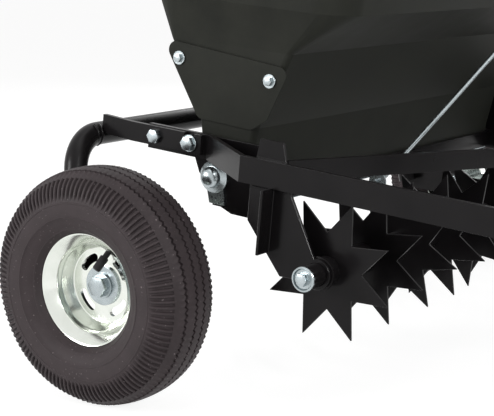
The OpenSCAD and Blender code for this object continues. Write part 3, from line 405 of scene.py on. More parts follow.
def lathe(bm, outline, steps, place=Matrix.Identity(4), closed=False):
    """Spins an outline of (height, radius) pairs about Z and puts it in place."""
    verts = [bm.verts.new((r, 0, h)) for h, r in outline]
    edges = [bm.edges.new(p) for p in zip(verts, verts[1:])]
    if closed:
        edges.append(bm.edges.new((verts[-1], verts[0])))
    bmesh.ops.spin(bm, geom=verts + edges, cent=(0, 0, 0), axis=(0, 0, 1), angle=math.tau, steps=steps,
                   use_merge=True)
    spun = linked(verts)
    bmesh.ops.transform(bm, matrix=place, verts=spun)
    return spun


def tube_along(bm, points, radii, sides=10):
    """A round bar through points, with a radius at each, closed at both ends."""
    rings = []
    for i, point in enumerate(points):
        way = (points[min(i + 1, len(points) - 1)] - points[max(i - 1, 0)]).to_track_quat("Z", "Y")
        made = bmesh.ops.create_circle(bm, cap_ends=False, segments=sides, radius=radii[i],
                                       matrix=Matrix.Translation(point) @ way.to_matrix().to_4x4())
        rings.append(list({e for v in made["verts"] for e in v.link_edges}))
    for near, far in zip(rings, rings[1:]):
        bmesh.ops.bridge_loops(bm, edges=near + far)
    for ring in (rings[0], rings[-1]):
        bmesh.ops.edgeloop_fill(bm, edges=ring)


# Tyre section as in the solids, in millimetres from the wheel axis and the mid-plane
TYRE_R, TYRE_HALF, SECTION_SHARE, TREAD_POWER, WALL_POWER = 129.5, 45.5, 0.68, 2.5, 2.0
SECTION_R = TYRE_R * SECTION_SHARE
SECTION_H = TYRE_R - SECTION_R
FLANGE_R, SEAT_R, RIM_HALF, TYRE_WALL = 61.5, 50.5, 29.5, 7.0
BULGE_R = FLANGE_R + 0.3
WALL_H = (SECTION_R - BULGE_R) / math.sqrt(1 - ((RIM_HALF + 1) / TYRE_HALF) ** 2)
LUG_FROM_R, LUG_TO_X, LUG_ROWS, LUG_STEPS = 98.0, 32.6, 8, 6
# Gap between lugs as a share of their pitch: its width, how much narrower at the tread, half its ramp
LUG_GAP, LUG_GAP_TAPER, LUG_RAMP, LUG_FADE = 0.52, 0.1, 0.16, 4
GROOVES = (6.6, 21.0)
GROOVE_HALF, SHOULDER_DROP = 1.5, 1.3
RIB_STOPS = [0.0, 3.0, 13.6, 26.0, 29.5, 32.4]
# Radii down the side wall; those in RAISED stand out as the mould's three thin rings
SIDE_RADII = (96.4, 95.8, 95.0, 94.4, 88.0, 81.4, 80.8, 80.0, 79.4, 75.0, 70.0, 67.4, 66.8, 65.6, 65.0, 63.0)
RAISED, RING_RISE = (95.8, 95.0, 80.8, 80.0, 66.8, 65.6), 0.6
INSIDE_RADII = (68.8, 76.0, 84.0, 96.0, 108.0, 116.0, 120.5)
BEAD = ((RIM_HALF + 1, BULGE_R), (27.17, BULGE_R), (17.17, SEAT_R + 0.3), (10.2, SEAT_R + 0.3),
        (20.2, BULGE_R))
WHEEL_X = abs(AXLE.x) / MM


def wall_x(radius, inset=0.0):
    """Half width of the tyre section at a radius."""
    low = radius < SECTION_R
    power = WALL_POWER if low else TREAD_POWER
    share = abs(radius - SECTION_R) / ((WALL_H if low else SECTION_H) - inset)
    return (TYRE_HALF - inset) * max(0.0, 1 - share ** power) ** (1 / power)


def crown_r(x):
    """Radius of the tread at a distance from the mid-plane."""
    return SECTION_R + SECTION_H * max(0.0, 1 - (abs(x) / TYRE_HALF) ** TREAD_POWER) ** (1 / TREAD_POWER)


def tyre_half(groove_depth):
    """Half of the section from the crown to the bead: (offset, radius, zone, share along the zone)."""
    stops = list(RIB_STOPS)
    for g in GROOVES:
        stops += [g - GROOVE_HALF, g - GROOVE_HALF * 0.6, g + GROOVE_HALF * 0.6, g + GROOVE_HALF]
    points = []
    for x in sorted(stops):
        deep = any(abs(x - g) < GROOVE_HALF * 0.8 for g in GROOVES)
        near = any(abs(x - g) < GROOVE_HALF * 1.1 for g in GROOVES)
        down = groove_depth if deep else SHOULDER_DROP if x > GROOVES[-1] + 2 * GROOVE_HALF else 0.0
        points.append((x, crown_r(x) - down, "zigzag" if near else "rib", 0.0))
    for k in range(LUG_ROWS):
        share = 1 - k / (LUG_ROWS - 1)
        r = LUG_FROM_R + (crown_r(LUG_TO_X) - LUG_FROM_R) * share
        points.append((wall_x(r), r, "lug", share))
    for r in SIDE_RADII:
        points.append((wall_x(r) + (RING_RISE if r in RAISED else 0.0), r, "side", 0.0))
    points += [(x, r, "bead", 0.0) for x, r in BEAD]
    points += [(wall_x(r, TYRE_WALL), r, "inside", 0.0) for r in INSIDE_RADII]
    return points


def lug_cut(share, wave):
    """How deep the gap between two shoulder lugs is: 0 on a lug, 1 in a gap."""
    gap = LUG_GAP - LUG_GAP_TAPER * share
    ridge = min(1.0, max(0.0, (wave - gap + LUG_RAMP) / (2 * LUG_RAMP)))
    return (1 - ridge * ridge * (3 - 2 * ridge)) * min(1.0, share * LUG_FADE)


def build_tyre(side, tread):
    """One tyre: a spun section whose shoulder is cut into lugs and whose grooves zigzag."""
    half = tyre_half(tread.groove_depth / MM)
    loop = half + [(-x, r, zone, share) for x, r, zone, share in reversed(half) if x > 0]
    turn_axis = {"cent": (0, 0, 0), "axis": (0, 0, 1)}
    pitch = math.tau / tread.lugs
    bm = bmesh.new()
    verts = [bm.verts.new((r, 0, x)) for x, r, _, _ in loop]
    edges = [bm.edges.new((a, b)) for a, b in zip(verts, verts[1:] + verts[:1])]
    bmesh.ops.spin(bm, geom=verts + edges, angle=pitch, steps=LUG_STEPS, **turn_axis)
    for v in bm.verts:
        x, r, turn = v.co.z, math.hypot(v.co.x, v.co.y), math.atan2(v.co.y, v.co.x)
        _, _, zone, share = min(loop, key=lambda row: math.hypot(row[0] - x, row[1] - r))
        part = (turn / math.tau * tread.lugs + (0.5 if x < 0 else 0.0)) % 1.0
        wave = 1 - abs(2 * part - 1)
        sign = 1 if x > 0 else -1
        if zone == "zigzag":
            x += sign * tread.zigzag / MM * (2 * wave - 1)
        elif zone == "lug":
            rise = (r - SECTION_R) / SECTION_H
            dip = tread.lug_depth / MM * lug_cut(share, wave)
            x -= sign * dip * math.sqrt(max(0.0, 1 - rise * rise))
            r -= dip * rise
        v.co = Vector((r * math.cos(turn), r * math.sin(turn), x))
    bmesh.ops.spin(bm, geom=bm.verts[:] + bm.edges[:] + bm.faces[:], angle=math.tau - pitch,
                   steps=tread.lugs - 1, use_duplicate=True, **turn_axis)
    clean(bm)
    name = SIDES[side]
    place = LEVEL @ along_x(WHEEL_X * side, 0, 0)
    return piece(bm, name + "_tyre_treaded", "tyre_rubber", name + "_wheel", (name + "_tyre",),
                 place, 34)


# Rim section as in the solids, in millimetres: x outwards from the tyre mid-plane, then radius
WEB_OUT, WEB_BACK, WEB_R, HUB_R, RIM_STEPS = -0.8, -5.2, 24.0, 15.1, 144
SLOT_R, SLOT_HALF, SLOT_COUNT, SLOT_REACH = 31.0, 4.5, 4, 9.2
SLOT_ROWS = [SLOT_R + SLOT_HALF * k / 3 for k in range(-4, 5)]
RIM_FRONT = [(28.9, 61.4), (29.5, 60.9), (29.3, 60.2), (28.4, 59.0), (20.4, 49.4), (19.2, 48.6), (17.6, 48.3),
             (13.2, 48.3), (11.8, 47.9), (10.6, 47.2), (1.4, 42.9), (0.0, 42.0), (-0.6, 41.0)]
RIM_REAR = [(-5.4, 41.2), (-6.0, 41.8), (-11.0, 47.2), (-12.2, 48.1), (-13.6, 48.3), (-17.6, 48.3),
            (-19.2, 48.6), (-20.4, 49.4), (-28.4, 59.0), (-29.3, 60.2), (-29.5, 60.9), (-28.9, 61.4),
            (-27.4, 61.4), (-17.4, 50.6), (-9.9, 50.5), (-3.0, 44.3), (9.9, 50.5), (17.4, 50.6), (27.4, 61.4)]


def slot_place(co):
    """Which slot a web point is nearest to, and its place along and across that slot."""
    turn = math.atan2(co.y, co.x) / math.tau * SLOT_COUNT
    k = math.floor(turn)
    return k, (turn - k - 0.5) * math.tau / SLOT_COUNT * SLOT_R, math.hypot(co.x, co.y) - SLOT_R


def build_rim(side):
    """One rim: two pressed halves with rolled flanges, a dished web and kidney slots."""
    outline = RIM_FRONT + [(WEB_OUT, r) for r in reversed(SLOT_ROWS)] + [(WEB_OUT, WEB_R), (WEB_OUT, HUB_R)]
    outline += [(WEB_BACK, HUB_R), (WEB_BACK, WEB_R)] + [(WEB_BACK, r) for r in SLOT_ROWS] + RIM_REAR
    bm = bmesh.new()
    lathe(bm, outline, RIM_STEPS, closed=True)
    clean(bm)
    cut = []
    for face in bm.faces:
        at = face.calc_center_median()
        _, along, across = slot_place(at)
        over = max(0.0, abs(along) - SLOT_REACH)
        on_web = abs(face.normal.z) > 0.9 and at.z < 0
        if on_web and math.hypot(over, across) < SLOT_HALF and abs(across) < SLOT_HALF:
            cut.append(face)
    bmesh.ops.delete(bm, geom=cut, context="FACES")
    rims = [e for e in bm.edges if len(e.link_faces) == 1]
    for v in {v for e in rims for v in e.verts}:
        k, along, across = slot_place(v.co)
        end = max(-SLOT_REACH, min(SLOT_REACH, along))
        off = Vector((along - end, across)).normalized() * SLOT_HALF
        turn = (k + 0.5) * math.tau / SLOT_COUNT + (end + off.x) / SLOT_R
        v.co.xy = (SLOT_R + off.y) * Vector((math.cos(turn), math.sin(turn)))
    for k in range(SLOT_COUNT):
        ring = [e for e in rims if slot_place(e.verts[0].co)[0] % SLOT_COUNT == k]
        bmesh.ops.bridge_loops(bm, edges=ring)
    bmesh.ops.recalc_face_normals(bm, faces=bm.faces)
    name = SIDES[side]
    return piece(bm, name + "_rim_pressed", name + "_rim", name + "_wheel",
                 (name + "_rim_halves",), LEVEL @ outward(side, WHEEL_X, 0, 0), 24)


# Valve in millimetres and degrees: its outlines are (height, radius) pairs from the rim barrel inwards
VALVE_BASE_R, VALVE_TILT, VALVE_LEAN = 45.5, 40, 12
VALVE_STEM = [(0.0, 0.0), (0.0, 5.0), (1.0, 5.0), (2.6, 3.5), (14.0, 3.1), (14.0, 0.0)]
VALVE_CAP = [(14.2, 0.0), (14.2, 4.6), (15.2, 5.0), (29.0, 4.7), (30.6, 3.7), (30.6, 0.0)]
CAP_RIBS, RIBS_FROM, RIBS_TO, RIB_SHARE = 16, 15.0, 29.5, 0.9


def build_valve(side):
    """Rubber valve stem with a ribbed cap, set in the rim barrel near the top of the wheel."""
    bm = bmesh.new()
    lathe(bm, VALVE_STEM, 24)
    for v in lathe(bm, VALVE_CAP, 2 * CAP_RIBS):
        if RIBS_FROM < v.co.z < RIBS_TO and round(math.atan2(v.co.y, v.co.x) / math.tau * 2 * CAP_RIBS) % 2:
            v.co.xy *= RIB_SHARE
    clean(bm)
    name = SIDES[side]
    lean = Matrix.Rotation(math.radians(VALVE_LEAN), 4, "X") @ Matrix.Translation((0, 0, VALVE_BASE_R))
    tip = Matrix.Rotation(math.radians((180 - VALVE_TILT) * side), 4, "Y")
    place = LEVEL @ Matrix.Translation((WHEEL_X * side, 0, 0)) @ lean @ tip
    return piece(bm, name + "_valve_stem", "valve_rubber", name + "_wheel",
                 (name + "_valve",), place)


# Shares of a bolt's diameter: across the flats of its hex, height of head, nut and washer, then thread pitch
# and the radii of its crests, roots and end
FLATS, HEAD, NUT, WASHER = 1.5, 0.6, 0.55, 0.16
THREAD_PITCH, CREST, ROOT, TIP = 0.15, 0.49, 0.44, 0.38


def add_hex(bm, place, across, height):
    """A hex head or nut standing up from a place, its top corners chamfered."""
    made = bmesh.ops.create_cone(bm, cap_ends=True, segments=6, radius1=across / math.sqrt(3),
                                 radius2=across / math.sqrt(3), depth=height)
    bmesh.ops.translate(bm, vec=(0, 0, height / 2), verts=made["verts"])
    top = {e for v in made["verts"] for e in v.link_edges if all(u.co.z > height * 0.9 for u in e.verts)}
    out = bmesh.ops.bevel(bm, geom=list(top), offset=across * 0.06, offset_type="OFFSET", affect="EDGES",
                          segments=2, profile=0.5, material=-1)
    verts = {v for v in made["verts"] if v.is_valid} | set(out["verts"])
    bmesh.ops.transform(bm, matrix=place, verts=list(verts))


def add_turned(bm, place, outline, steps=28):
    """A turned shape of (height, radius) pairs, closed on its axis at both ends."""
    lathe(bm, [(outline[0][0], 0.0)] + list(outline) + [(outline[-1][0], 0.0)], steps, place)


def add_thread(bm, place, d, reach):
    """A threaded end that stands up from a place."""
    pitch = d * THREAD_PITCH
    turns = max(2, int(reach / pitch))
    outline = [(k * pitch / 2, d * (CREST if k % 2 else ROOT)) for k in range(2 * turns)]
    add_turned(bm, place, outline + [(turns * pitch + d * 0.05, d * TIP)], 20)


def add_washer(bm, place, r, t):
    """A plain washer with softened edges, standing up from a place."""
    add_turned(bm, place, [(0, r - 0.2), (0.2, r), (t - 0.3, r), (t, r - 0.35)], 36)


def add_nut(bm, place, d, past=0.25):
    """A nut standing up from a place, with the bolt's threaded end through it."""
    add_hex(bm, place, d * FLATS, d * NUT)
    add_thread(bm, place @ Matrix.Translation((0, 0, d * 0.5)), d, d * past)


def add_bolt(bm, place, d, grip_l, washer=0.0):
    """A bolt whose head stands up from a place and whose shank and nut run the other way."""
    lift = d * WASHER if washer else 0.0
    if washer:
        add_washer(bm, place, washer, lift)
    add_hex(bm, place @ Matrix.Translation((0, 0, lift)), d * FLATS, d * HEAD)
    under = place @ Matrix.Translation((0, 0, -grip_l))
    add_turned(bm, under, [(0, d / 2), (grip_l, d / 2)], 20)
    add_nut(bm, under @ Matrix.Rotation(math.pi, 4, "X"), d)


# Fastener places as in the solids, in level millimetres
PIVOT_Y, PIVOT_Z, STOP_REACH, PIVOT_D, TAB_FACE, SIDE_IN = 24.0, 148.0, 48.0, 9.5, 350.6, 334.0
ARM_Z, ARM_T, ARM_LOW, BRACE_Z, BRACE_T, TONGUE_HALF, BAR_BOLT_D = 146.0, 6.0, 132.0, 151.0, 5.0, 20.0, 10
ARM_BOLT_Y, BRACE_BOLT_Y, POST_T, LEVER_FACE = -879.0, -350.1, 6.0, 31.6
LEVER_Y, LEVER_Z = -385.0, 420.0
HANGER_Y, HANGER_Z, HANGER_IN, HANGER_OUT = -166.0, 152.0, 399.0, 403.0
PANEL_BOLTS, PANEL_OUT = ((16.0, 236.0), (-106.0, 227.0)), 325.0
PANEL_WASHER_R, PANEL_WASHER_T, PANEL_FLATS, PANEL_HEAD = 7.8, 2.0, 9.0, 3.6
HITCH_Y, HITCH_ZS, CHANNEL_OUT, HITCH_BOLT_D = -959.75, (148.0, 114.0), 30.0, 12
AXLE_R, AXLE_IN, HUB_END, AXLE_FLATS, AXLE_HEAD = 8.0, 401.5, 459.5, 20.8, 8.0
AXLE_WASHER_R, AXLE_WASHER_T = 14.0, 2.0
REEL_Y, REEL_Z, REEL_END, REEL_FLATS, REEL_HEAD = -230.0, 53.0, 426.0, 12.0, 6.5
# Dished washer on the reel's ends, height and radius, so that a dark ring shows round the bolt's head
REEL_WASHER = ((0, 12.8), (0.2, 13.0), (2.2, 13.0), (2.8, 12.4), (2.8, 11.2), (0.8, 10.0))
AGITATOR_Y, AGITATOR_Z, BEARING_OUT = -53.0, 114.0, 345.0
# Pressed cap over the right end of the agitator: height and radius
DOME = ((0.0, 11.9), (2.5, 11.8), (5.5, 10.9), (8.0, 9.2), (9.8, 7.0), (10.8, 4.2), (11.1, 1.6))
# Weld runs: under each arm and down the hanger's lip, round the wheel tube at its tabs, round the tongue's
# end; the hanger's are (y, z) pairs
HANGER_WELDS = (((-188.0, ARM_LOW - 0.5), (-144.0, ARM_LOW - 0.5)), ((-169.0, 128.0), (-169.0, 70.0)))
HANGER_WELD_X = HANGER_OUT + 0.5
TUBE_Y, TUBE_Z, TUBE_R, TAB_WELD_XS = 118.0, 134.0, 13.5, (TAB_FACE - 6.6, TAB_FACE + 0.2)
TAB_WELD_ANGLES = [math.radians(110 + 14 * k) for k in range(11)]
TONGUE_END, TONGUE_LOW, TONGUE_TOP = -930.0, 126.0, 166.0
# Shares of a weld bead's radius: ripple spacing, radius between ripples and at the ends, and of the tab welds
RIPPLE, RIPPLE_LOW, BEAD_END, TAB_BEAD = 0.55, 0.8, 0.5, 0.8


def weld_bead(bm, points, radius):
    """A rippled weld bead along straight runs between points."""
    marks = []
    for a, b in zip(points, points[1:]):
        steps = max(2, round((b - a).length / (radius * RIPPLE)))
        marks += [a.lerp(b, k / steps) for k in range(steps)]
    marks.append(points[-1])
    swell = [radius * (1.0 if k % 2 else RIPPLE_LOW) for k in range(len(marks))]
    swell[0] = swell[-1] = radius * BEAD_END
    tube_along(bm, marks, swell, 8)


# Drive chain as in the solids: pitch, teeth on the reel and on the agitator, and its place across the machine
CHAIN_PITCH, REEL_TEETH, AGITATOR_TEETH, CHAIN_X = 6.35, 22, 13, 343.8
PLATE_R, PLATE_T, INNER_X, OUTER_X = 2.2, 0.68, 1.35, 2.1
ROLLER, PIN = (1.65, 1.9), (1.0, 4.9)


def chain_marks():
    """Pin places (y, z) round the two sprockets."""
    a, b = Vector((REEL_Y, REEL_Z)), Vector((AGITATOR_Y, AGITATOR_Z))
    ra, rb = (CHAIN_PITCH / 2 / math.sin(math.pi / n) for n in (REEL_TEETH, AGITATOR_TEETH))
    apart = b - a
    base, lean = math.atan2(apart.y, apart.x), math.acos((ra - rb) / apart.length)
    run = math.sqrt(apart.length ** 2 - (ra - rb) ** 2)
    lengths = [ra * (math.tau - 2 * lean), run, rb * 2 * lean, run]
    count = round(sum(lengths) / CHAIN_PITCH / 2) * 2
    marks = []
    for k in range(count):
        s = sum(lengths) * k / count
        if s < lengths[0]:
            turn = base + lean + s / ra
            marks.append(a + ra * Vector((math.cos(turn), math.sin(turn))))
            continue
        s -= lengths[0]
        low, high = (Vector((math.cos(base + t), math.sin(base + t))) for t in (-lean, lean))
        if s < run:
            marks.append((a + ra * low).lerp(b + rb * low, s / run))
        elif s - run < lengths[2]:
            turn = base - lean + (s - run) / rb
            marks.append(b + rb * Vector((math.cos(turn), math.sin(turn))))
        else:
            marks.append((b + rb * high).lerp(a + ra * high, (s - run - lengths[2]) / run))
    return marks


def build_chain():
    """The drive chain: pairs of side plates, inner and outer in turn, on rollers and pins."""
    bm = bmesh.new()
    marks = chain_marks()
    for k, pin in enumerate(marks):
        way = marks[(k + 1) % len(marks)] - pin
        middle = pin + way / 2
        turn = Matrix.Rotation(math.atan2(way.x, -way.y), 4, "Z")
        for side in (-1, 1):
            x = CHAIN_X + side * (OUTER_X if k % 2 else INNER_X)
            plate = bmesh.ops.create_cone(bm, cap_ends=True, segments=12, radius1=PLATE_R, radius2=PLATE_R,
                                          depth=PLATE_T)["verts"]
            for v in plate:
                v.co.x += math.copysign(way.length / 2, v.co.x) if abs(v.co.x) > 0.01 else 0.0
            bmesh.ops.transform(bm, matrix=along_x(x, middle.x, middle.y) @ turn, verts=plate)
        for r, depth in (ROLLER, PIN):
            bmesh.ops.create_cone(bm, cap_ends=True, segments=10, radius1=r, radius2=r, depth=depth,
                                  matrix=along_x(CHAIN_X, pin.x, pin.y))
    bmesh.ops.recalc_face_normals(bm, faces=bm.faces)
    return piece(bm, "drive_chain_links", "chain", "frame", ("drive_chain",))


# Grip in level millimetres and degrees: its outlines are (height, radius) pairs up the lever
GRIP_PLACE, GRIP_LEAN = (-28.8, -373.14, 589.59), -4
GRIP_FOOT = [(10.4, 9.4), (10.8, 10.2), (13.0, 10.8)]
GRIP_END = [(43.5, 16.8), (48.0, 16.6), (53.0, 15.4), (57.0, 13.2), (59.2, 9.6), (60.0, 4.0)]
RINGS, RING_FROM, RING_PITCH, RING_R, RING_GROWTH = 6, 15.0, 4.6, 11.2, 0.95
RING_SHAPE = ((0.0, 0.0), (0.7, -0.9), (1.5, -0.9), (2.2, 0.3))


def build_grip():
    """Dipped grip on the lever: a swelling handle with finger rings and a domed end."""
    bm = bmesh.new()
    outline = list(GRIP_FOOT)
    for k in range(RINGS):
        low, r = RING_FROM + RING_PITCH * k, RING_R + RING_GROWTH * k
        outline += [(low + up, r + out) for up, out in RING_SHAPE]
    add_turned(bm, Matrix.Identity(4), outline + GRIP_END, 48)
    clean(bm)
    place = LEVEL @ Matrix.Translation(GRIP_PLACE) @ Matrix.Rotation(math.radians(GRIP_LEAN), 4, "X")
    return piece(bm, "lever_grip", "grip", "lever", ("lever_knob",), place, 50)


def white_rays(tree):
    """1 for the rays that should see plain white: from the camera, off gloss and through glass."""
    seen = add_node(tree, "ShaderNodeLightPath").outputs
    direct = add_node(tree, "ShaderNodeMath", links={0: seen["Is Camera Ray"], 1: seen["Is Glossy Ray"]},
                      operation="MAXIMUM")
    every = add_node(tree, "ShaderNodeMath", links={0: direct.outputs[0], 1: seen["Is Transmission Ray"]},
                     operation="MAXIMUM")
    return every.outputs[0]


# Lamps: share of the key's power, then size and place in metres, where the second place is from the axle line
LAMPS = {
    "key_softbox": (1.0, 1.2, -2.8, 1.6, 1.2),
    "top_softbox": (0.3, 2.2, -0.4, -0.6, 3.0),
    "front_lamp": (0.16, 0.45, -1.3, -2.8, 2.5),
    "lens_lamp": (0.19, 0.13, -1.39, -1.56, 0.88),
    "left_softbox": (0.6, 1.6, 2.8, 0.7, 1.3),
}
LAMP_AIM = Vector((-0.3, AXLE.y - 0.1, 0.2))
FLOOR_HALF, FLOOR_PALE, GLOW = 14, "#f6f6f5", 1.25
# Camera as fitted to the photograph: its right and forward directions, and its place in metres from the
# middle of the right rim's face
CAMERA_RIGHT = Vector((0.558, -0.830, 0.0)).normalized()
CAMERA_AHEAD = Vector((0.8168, 0.5493, -0.1764)).normalized()
CAMERA_FROM_RIM = Vector((-1.0983, -0.9447, 0.3462))
SENSOR_MM = 36.0
# Shares of the set rounding: the hangers' wide chamfer and the sprockets' fine one
HANGER_EDGE, SPROCKET_EDGE = 1.6, 0.5


class AERATOR_OT_finishes(bpy.types.Operator):
    """Makes the finishes that the pieces wear."""

    bl_idname = "aerator.finishes"
    bl_label = "Finishes"

    def execute(self, context):
        make_finishes(settings()[0])
        return {"FINISHED"}


class AERATOR_OT_wheels(bpy.types.Operator):
    """Builds the treaded tyres, pressed rims, hubs and valve stems."""

    bl_idname = "aerator.wheels"
    bl_label = "Wheels"

    def execute(self, context):
        _, tread, edges, _ = settings()
        for side, name in SIDES.items():
            build_tyre(side, tread)
            build_rim(side)
            build_valve(side)
            dressed(name + "_hub", "zinc", edges.sheet)
        return {"FINISHED"}


class AERATOR_OT_drawbar(bpy.types.Operator):
    """Rounds the arms, braces, tongue, hitch, hangers and wheel frame and gives them their coat."""

    bl_idname = "aerator.drawbar"
    bl_label = "Drawbar and wheel frame"

    def execute(self, context):
        edges = settings()[2]
        for name in SIDES.values():
            for part in ("_arm", "_brace", "_pivot_tab", "_axle_plate"):
                dressed(name + part, "black_paint", edges.bar)
            dressed(name + "_hanger", "black_paint", edges.bar * HANGER_EDGE, 1)
        for node in ("tongue", "hitch_channel", "hitch_clevis", "lever_post"):
            dressed(node, "black_paint", edges.bar)
        dressed("wheel_tube", "black_paint")
        return {"FINISHED"}


class AERATOR_OT_sheets(bpy.types.Operator):
    """Rounds the side plates, metering floor, gate, bearings and lever."""

    bl_idname = "aerator.sheets"
    bl_label = "Sheet parts"

    def execute(self, context):
        edges = settings()[2]
        for name in SIDES.values():
            dressed(name + "_side_plate", "black_paint", edges.bar)
            dressed(name + "_reel_bearing", "black_paint", edges.sheet)
            dressed(name + "_agitator_bearing", "zinc", edges.sheet)
        dressed("metering_floor", "black_paint", edges.sheet)
        bm = bmesh.new()
        add_turned(bm, outward(-1, BEARING_OUT, AGITATOR_Y, AGITATOR_Z), DOME, 48)
        clean(bm)
        piece(bm, "right_bearing_dome", "zinc", "frame", sharp=60)
        for node in ("gate_plate", "flow_lever", "agitator_shaft"):
            dressed(node, "zinc", edges.sheet)
        dressed("flow_rod", "zinc")
        return {"FINISHED"}


class AERATOR_OT_reel(bpy.types.Operator):
    """Rounds the star discs, spacers and shaft of the reel."""

    bl_idname = "aerator.reel"
    bl_label = "Reel"

    def execute(self, context):
        edges = settings()[2]
        for node in sorted(n for n in NODES if n.startswith("spiker_disc")):
            dressed(node, "black_paint", edges.sheet)
        dressed("disc_spacers", "black_paint", edges.sheet)
        dressed("reel_shaft", "zinc", edges.sheet)
        return {"FINISHED"}


class AERATOR_OT_hopper(bpy.types.Operator):
    """Rounds the hopper and its end panels and gives them their plastic finish."""

    bl_idname = "aerator.hopper"
    bl_label = "Hopper"

    def execute(self, context):
        edges = settings()[2]
        dressed("hopper_shell", "poly", edges.mould, 3, 20)
        for name in SIDES.values():
            dressed(name + "_end_panel", "poly", edges.bar, 3)
        return {"FINISHED"}


class AERATOR_OT_fasteners(bpy.types.Operator):
    """Builds the bolts, washers and nuts."""

    bl_idname = "aerator.fasteners"
    bl_label = "Fasteners"

    def execute(self, context):
        nodes = ("pivot_bolts", "panel_bolts", "drawbar_bolts", "hitch_bolts", "axle_bolts", "reel_end_bolts")
        sets = {node: bmesh.new() for node in nodes}
        for side in SIDES:
            bm, grip_l = sets["pivot_bolts"], TAB_FACE - SIDE_IN
            add_bolt(bm, outward(side, TAB_FACE, PIVOT_Y, PIVOT_Z), PIVOT_D, grip_l)
            add_bolt(bm, outward(side, TAB_FACE, PIVOT_Y - STOP_REACH, PIVOT_Z), PIVOT_D, grip_l, PIVOT_D)
            bm = sets["panel_bolts"]
            for y, z in PANEL_BOLTS:
                add_washer(bm, outward(side, PANEL_OUT, y, z), PANEL_WASHER_R, PANEL_WASHER_T)
                add_hex(bm, outward(side, PANEL_OUT + PANEL_WASHER_T, y, z), PANEL_FLATS, PANEL_HEAD)
            bm, stud = sets["drawbar_bolts"], outward(-side, -HANGER_IN, HANGER_Y, HANGER_Z)
            add_nut(bm, stud, BAR_BOLT_D)
            add_turned(bm, stud, [(HANGER_IN - HANGER_OUT, BAR_BOLT_D / 2), (0, BAR_BOLT_D / 2)], 20)
            bm, seat = sets["axle_bolts"], HUB_END + AXLE_WASHER_T
            add_washer(bm, outward(side, HUB_END, 0, 0), AXLE_WASHER_R, AXLE_WASHER_T)
            add_hex(bm, outward(side, seat, 0, 0), AXLE_FLATS, AXLE_HEAD)
            add_turned(bm, outward(side, AXLE_IN, 0, 0), [(0, AXLE_R), (seat - AXLE_IN, AXLE_R)], 32)
            add_hex(bm, outward(-side, -AXLE_IN, 0, 0), AXLE_FLATS, AXLE_HEAD)
            bm, dish = sets["reel_end_bolts"], REEL_WASHER[-1][0]
            add_turned(bm, outward(side, REEL_END, REEL_Y, REEL_Z), REEL_WASHER, 36)
            add_hex(bm, outward(side, REEL_END + dish, REEL_Y, REEL_Z), REEL_FLATS, REEL_HEAD)
        bm = sets["drawbar_bolts"]
        for y, z, t in ((ARM_BOLT_Y, ARM_Z, ARM_T), (BRACE_BOLT_Y, BRACE_Z, BRACE_T)):
            add_bolt(bm, outward(1, TONGUE_HALF + t, y, z), BAR_BOLT_D, 2 * (TONGUE_HALF + t))
        add_bolt(bm, outward(1, TONGUE_HALF, LEVER_Y, ARM_Z), BAR_BOLT_D, 2 * TONGUE_HALF + POST_T)
        add_bolt(bm, outward(-1, LEVER_FACE, LEVER_Y, LEVER_Z), BAR_BOLT_D, LEVER_FACE - TONGUE_HALF)
        for z in HITCH_ZS:
            add_bolt(sets["hitch_bolts"], outward(1, CHANNEL_OUT, HITCH_Y, z), HITCH_BOLT_D, 2 * CHANNEL_OUT)
        for node, bm in sets.items():
            clean(bm)
            piece(bm, node[:-1] + "_set", "zinc", BODY_OF[node], (node,))
        return {"FINISHED"}


class AERATOR_OT_welds(bpy.types.Operator):
    """Lays the weld beads between plates, bars and tube."""

    bl_idname = "aerator.welds"
    bl_label = "Welds"

    def execute(self, context):
        size = settings()[2].weld / MM
        for side, name in SIDES.items():
            bm = bmesh.new()
            for run in HANGER_WELDS:
                weld_bead(bm, [Vector((HANGER_WELD_X * side, y, z)) for y, z in run], size)
            clean(bm)
            piece(bm, name + "_hanger_welds", "black_paint", "frame", sharp=60)
            bm = bmesh.new()
            for x in TAB_WELD_XS:
                ring = [(TUBE_Y + TUBE_R * math.cos(a), TUBE_Z + TUBE_R * math.sin(a))
                        for a in TAB_WELD_ANGLES]
                weld_bead(bm, [Vector((x * side, y, z)) for y, z in ring], size * TAB_BEAD)
            clean(bm)
            piece(bm, name + "_tab_welds", "black_paint", "wheel_frame", sharp=60)
        bm = bmesh.new()
        corners = ((-1, TONGUE_LOW), (1, TONGUE_LOW), (1, TONGUE_TOP), (-1, TONGUE_TOP), (-1, TONGUE_LOW))
        weld_bead(bm, [Vector((x * TONGUE_HALF, TONGUE_END, z)) for x, z in corners], size)
        clean(bm)
        piece(bm, "hitch_welds", "black_paint", "frame", sharp=60)
        return {"FINISHED"}


class AERATOR_OT_drive(bpy.types.Operator):
    """Builds the chain and the grip, and rounds the sprockets."""

    bl_idname = "aerator.drive"
    bl_label = "Chain and grip"

    def execute(self, context):
        build_chain()
        build_grip()
        for node in ("reel_sprocket", "agitator_sprocket"):
            dressed(node, "chain", settings()[2].sheet * SPROCKET_EDGE, 1)
        return {"FINISHED"}


